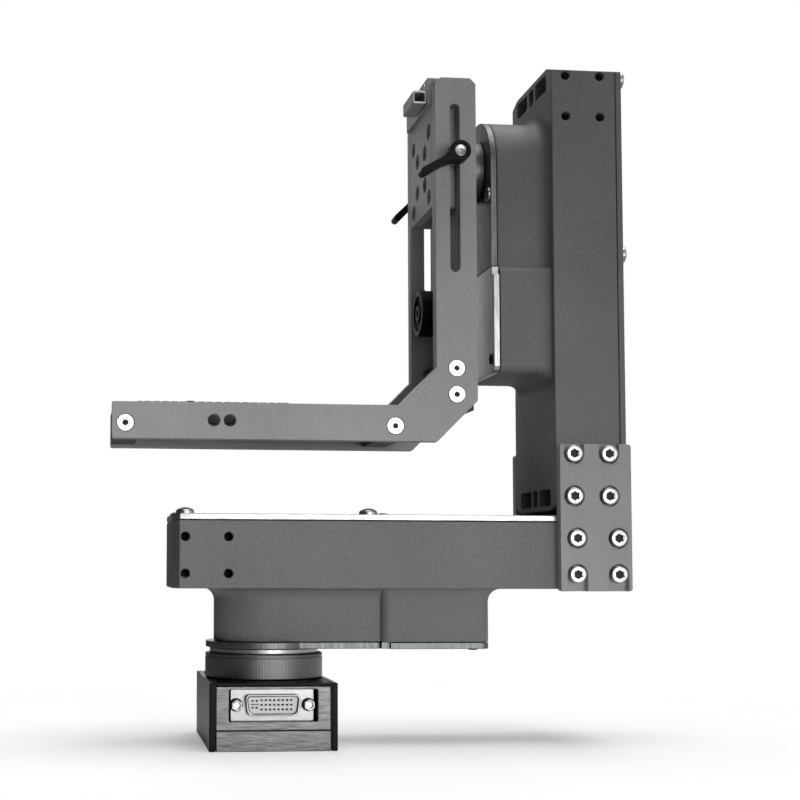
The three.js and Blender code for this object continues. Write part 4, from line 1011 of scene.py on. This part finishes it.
# The camera that was fitted to the photo: its place, the way it looks and its lens
def make_camera():
    spot = Vector((-81.365, -687.885, 84.589)) * MM
    turn, rise, lean = -0.100846, 0.066511, 0.003172
    ahead = Vector((-sin(turn) * cos(rise), cos(turn) * cos(rise), sin(rise)))
    level = Vector((cos(turn), sin(turn), 0))
    over = level.cross(ahead)
    right = level * cos(lean) + over * sin(lean)
    up = over * cos(lean) - level * sin(lean)
    lens = bpy.data.cameras.new("camera")
    lens.sensor_width = 36
    lens.lens = 64.169
    lens.shift_x = 0.2
    lens.shift_y = 0.0868
    lens.clip_start = 0.01
    lens.clip_end = 50
    camera = bpy.data.objects.new("camera", lens)
    camera.matrix_world = Matrix.Translation(spot) @ Matrix(
        (right, up, -ahead)).transposed().to_4x4()
    SCENE.collection.objects.link(camera)
    SCENE.camera = camera


def area_light(name, place, aim, size, power, spread):
    data = bpy.data.lights.new(name, "AREA")
    data.shape = "RECTANGLE"
    data.size, data.size_y = size
    data.energy = power
    data.spread = radians(spread)
    lamp = bpy.data.objects.new(name, data)
    lamp.location = place
    lamp.rotation_mode = "QUATERNION"
    lamp.rotation_quaternion = (Vector(aim) - Vector(place)).to_track_quat("-Z", "Y")
    SCENE.collection.objects.link(lamp)


# The studio's walls: bright on the right at the object's level, dimmer high up and underfoot, and
# nearly black on the left. The camera and rays through glass see plain white instead.
def make_surroundings():
    world = bpy.data.worlds.new("studio")
    world.use_nodes = True
    tree = world.node_tree
    tree.nodes.clear()
    place = add_node(tree, "TexCoord", {}).outputs["Generated"]
    way = add_node(tree, "SeparateXYZ", {"Vector": place})
    rightward = add_node(tree, "MapRange", {
        "Value": way.outputs["X"], "From Min": -0.45, "From Max": 0.6, "To Min": 0.03,
        "To Max": 0.55}, SMOOTH).outputs["Result"]
    low_down = add_node(tree, "MapRange", {
        "Value": way.outputs["Z"], "From Min": 0.02, "From Max": 0.5, "To Min": 1.0,
        "To Max": 0.35}, SMOOTH).outputs["Result"]
    underfoot = add_node(tree, "MapRange", {
        "Value": way.outputs["Z"], "From Min": -0.3, "From Max": 0.0, "To Min": 0.3, "To Max": 1.0},
                         SMOOTH).outputs["Result"]
    band = add_node(tree, "Math", {
        0: underfoot, 1: low_down}, {"operation": "MULTIPLY"}).outputs["Value"]
    level = add_node(tree, "Math", {
        0: rightward, 1: band}, {"operation": "MULTIPLY"}).outputs["Value"]
    rays = add_node(tree, "LightPath", {})
    seen = add_node(tree, "Math", {
        0: rays.outputs["Is Camera Ray"], 1: rays.outputs["Is Transmission Ray"]},
                    {"operation": "MAXIMUM"}).outputs["Value"]
    # Metal shows the bright walls nearly white, and the dark wall stays dark
    mirrored = add_node(tree, "MapRange", {
        "Value": rays.outputs["Is Glossy Ray"], "To Min": 1.0, "To Max": 1.8}).outputs["Result"]
    strength = add_node(tree, "Math", {
        0: level, 1: mirrored}, {"operation": "MULTIPLY"}).outputs["Value"]
    dim = add_node(tree, "Background", {
        "Color": linear("#fdfeff"), "Strength": strength}).outputs["Background"]
    white = add_node(tree, "Background", {"Color": (1, 1, 1, 1)}).outputs["Background"]
    shown = add_node(tree, "MixShader", {
        0: seen, 1: dim, 2: white}).outputs["Shader"]
    add_node(tree, "OutputWorld", {"Surface": shown})
    SCENE.world = world


# Each lamp's name, place, aim and size in metres, its power in watts and its spread in degrees
def make_studio():
    area_light("key_softbox", (0.3, -1.2, 0.08), (-0.06, 0, 0.035), (0.5, 0.4), 0.47, 44)
    area_light("front_softbox", (-0.12, -1.5, 0.2), (0, 0, 0.07), (0.6, 0.5), 0.15, 56)
    area_light("left_grid_lamp", (-0.7, 0.16, 0.37), (0.08, 0, 0.285), (0.1, 0.1), 0.008, 12)
    area_light("back_softbox", (0.1, 1.3, 0.5), (0, 0, 0.15), (0.7, 0.6), 0.42, 70)
    area_light("top_softbox", (0.15, 0.0, 1.4), (0.05, 0, 0.1), (1.1, 1.1), 10, 150)
    make_surroundings()
    make_floor()


# A pale matt floor that fades into the white background with distance from the object
def make_floor():
    material, tree, place = start_material("pale_floor")
    reach = add_node(tree, "VectorMath", {0: place}, {"operation": "LENGTH"}).outputs["Value"]
    fade = add_node(tree, "MapRange", {
        "Value": reach, "From Min": 0.12, "From Max": 0.4}, SMOOTH).outputs["Result"]
    paper = add_node(tree, "TexNoise", {
        "Vector": place, "Scale": per_mm(1.5), "Detail": 2}).outputs["Fac"]
    tone = two_tones(tree, paper, "#f6f6f6", "#fcfcfc")
    matt = add_node(tree, "BsdfPrincipled", {"Base Color": tone, "Roughness": 0.9}).outputs["BSDF"]
    rays = add_node(tree, "LightPath", {})
    lift = add_node(tree, "Math", {
        0: rays.outputs["Is Camera Ray"], 1: FLOOR_GLOW},
                    {"operation": "MULTIPLY"}).outputs["Value"]
    glow = add_node(tree, "Emission",
                    {"Color": linear("#ffffff"), "Strength": lift}).outputs["Emission"]
    lit = add_node(tree, "AddShader", {0: matt, 1: glow}).outputs["Shader"]
    clear = add_node(tree, "BsdfTransparent", {}).outputs["BSDF"]
    shown = add_node(tree, "MixShader", {
        0: fade, 1: lit, 2: clear}).outputs["Shader"]
    add_node(tree, "OutputMaterial", {"Surface": shown})
    shape = bmesh.new()
    bmesh.ops.create_circle(shape, cap_ends=True, segments=96, radius=1.2)
    mesh = mesh_of(shape)
    mesh.materials.append(material)
    floor = bpy.data.objects.new("studio_floor", mesh)
    floor.location = (0.05, 0, 0)
    SCENE.collection.objects.link(floor)


make_camera()
make_base()
make_connector()
make_pan_stack()
make_module("pan", ARM_PLACE)
make_module("tilt", COLUMN_PLACE)
make_corner_plates()
make_cradle()
make_camera_screw()
make_knob()
make_carriage()
make_lever(-1, "front", 210.5)
make_lever(1, "rear", 225)
dress_solids()
make_studio()
bpy.context.scene.view_settings.view_transform = "Standard"
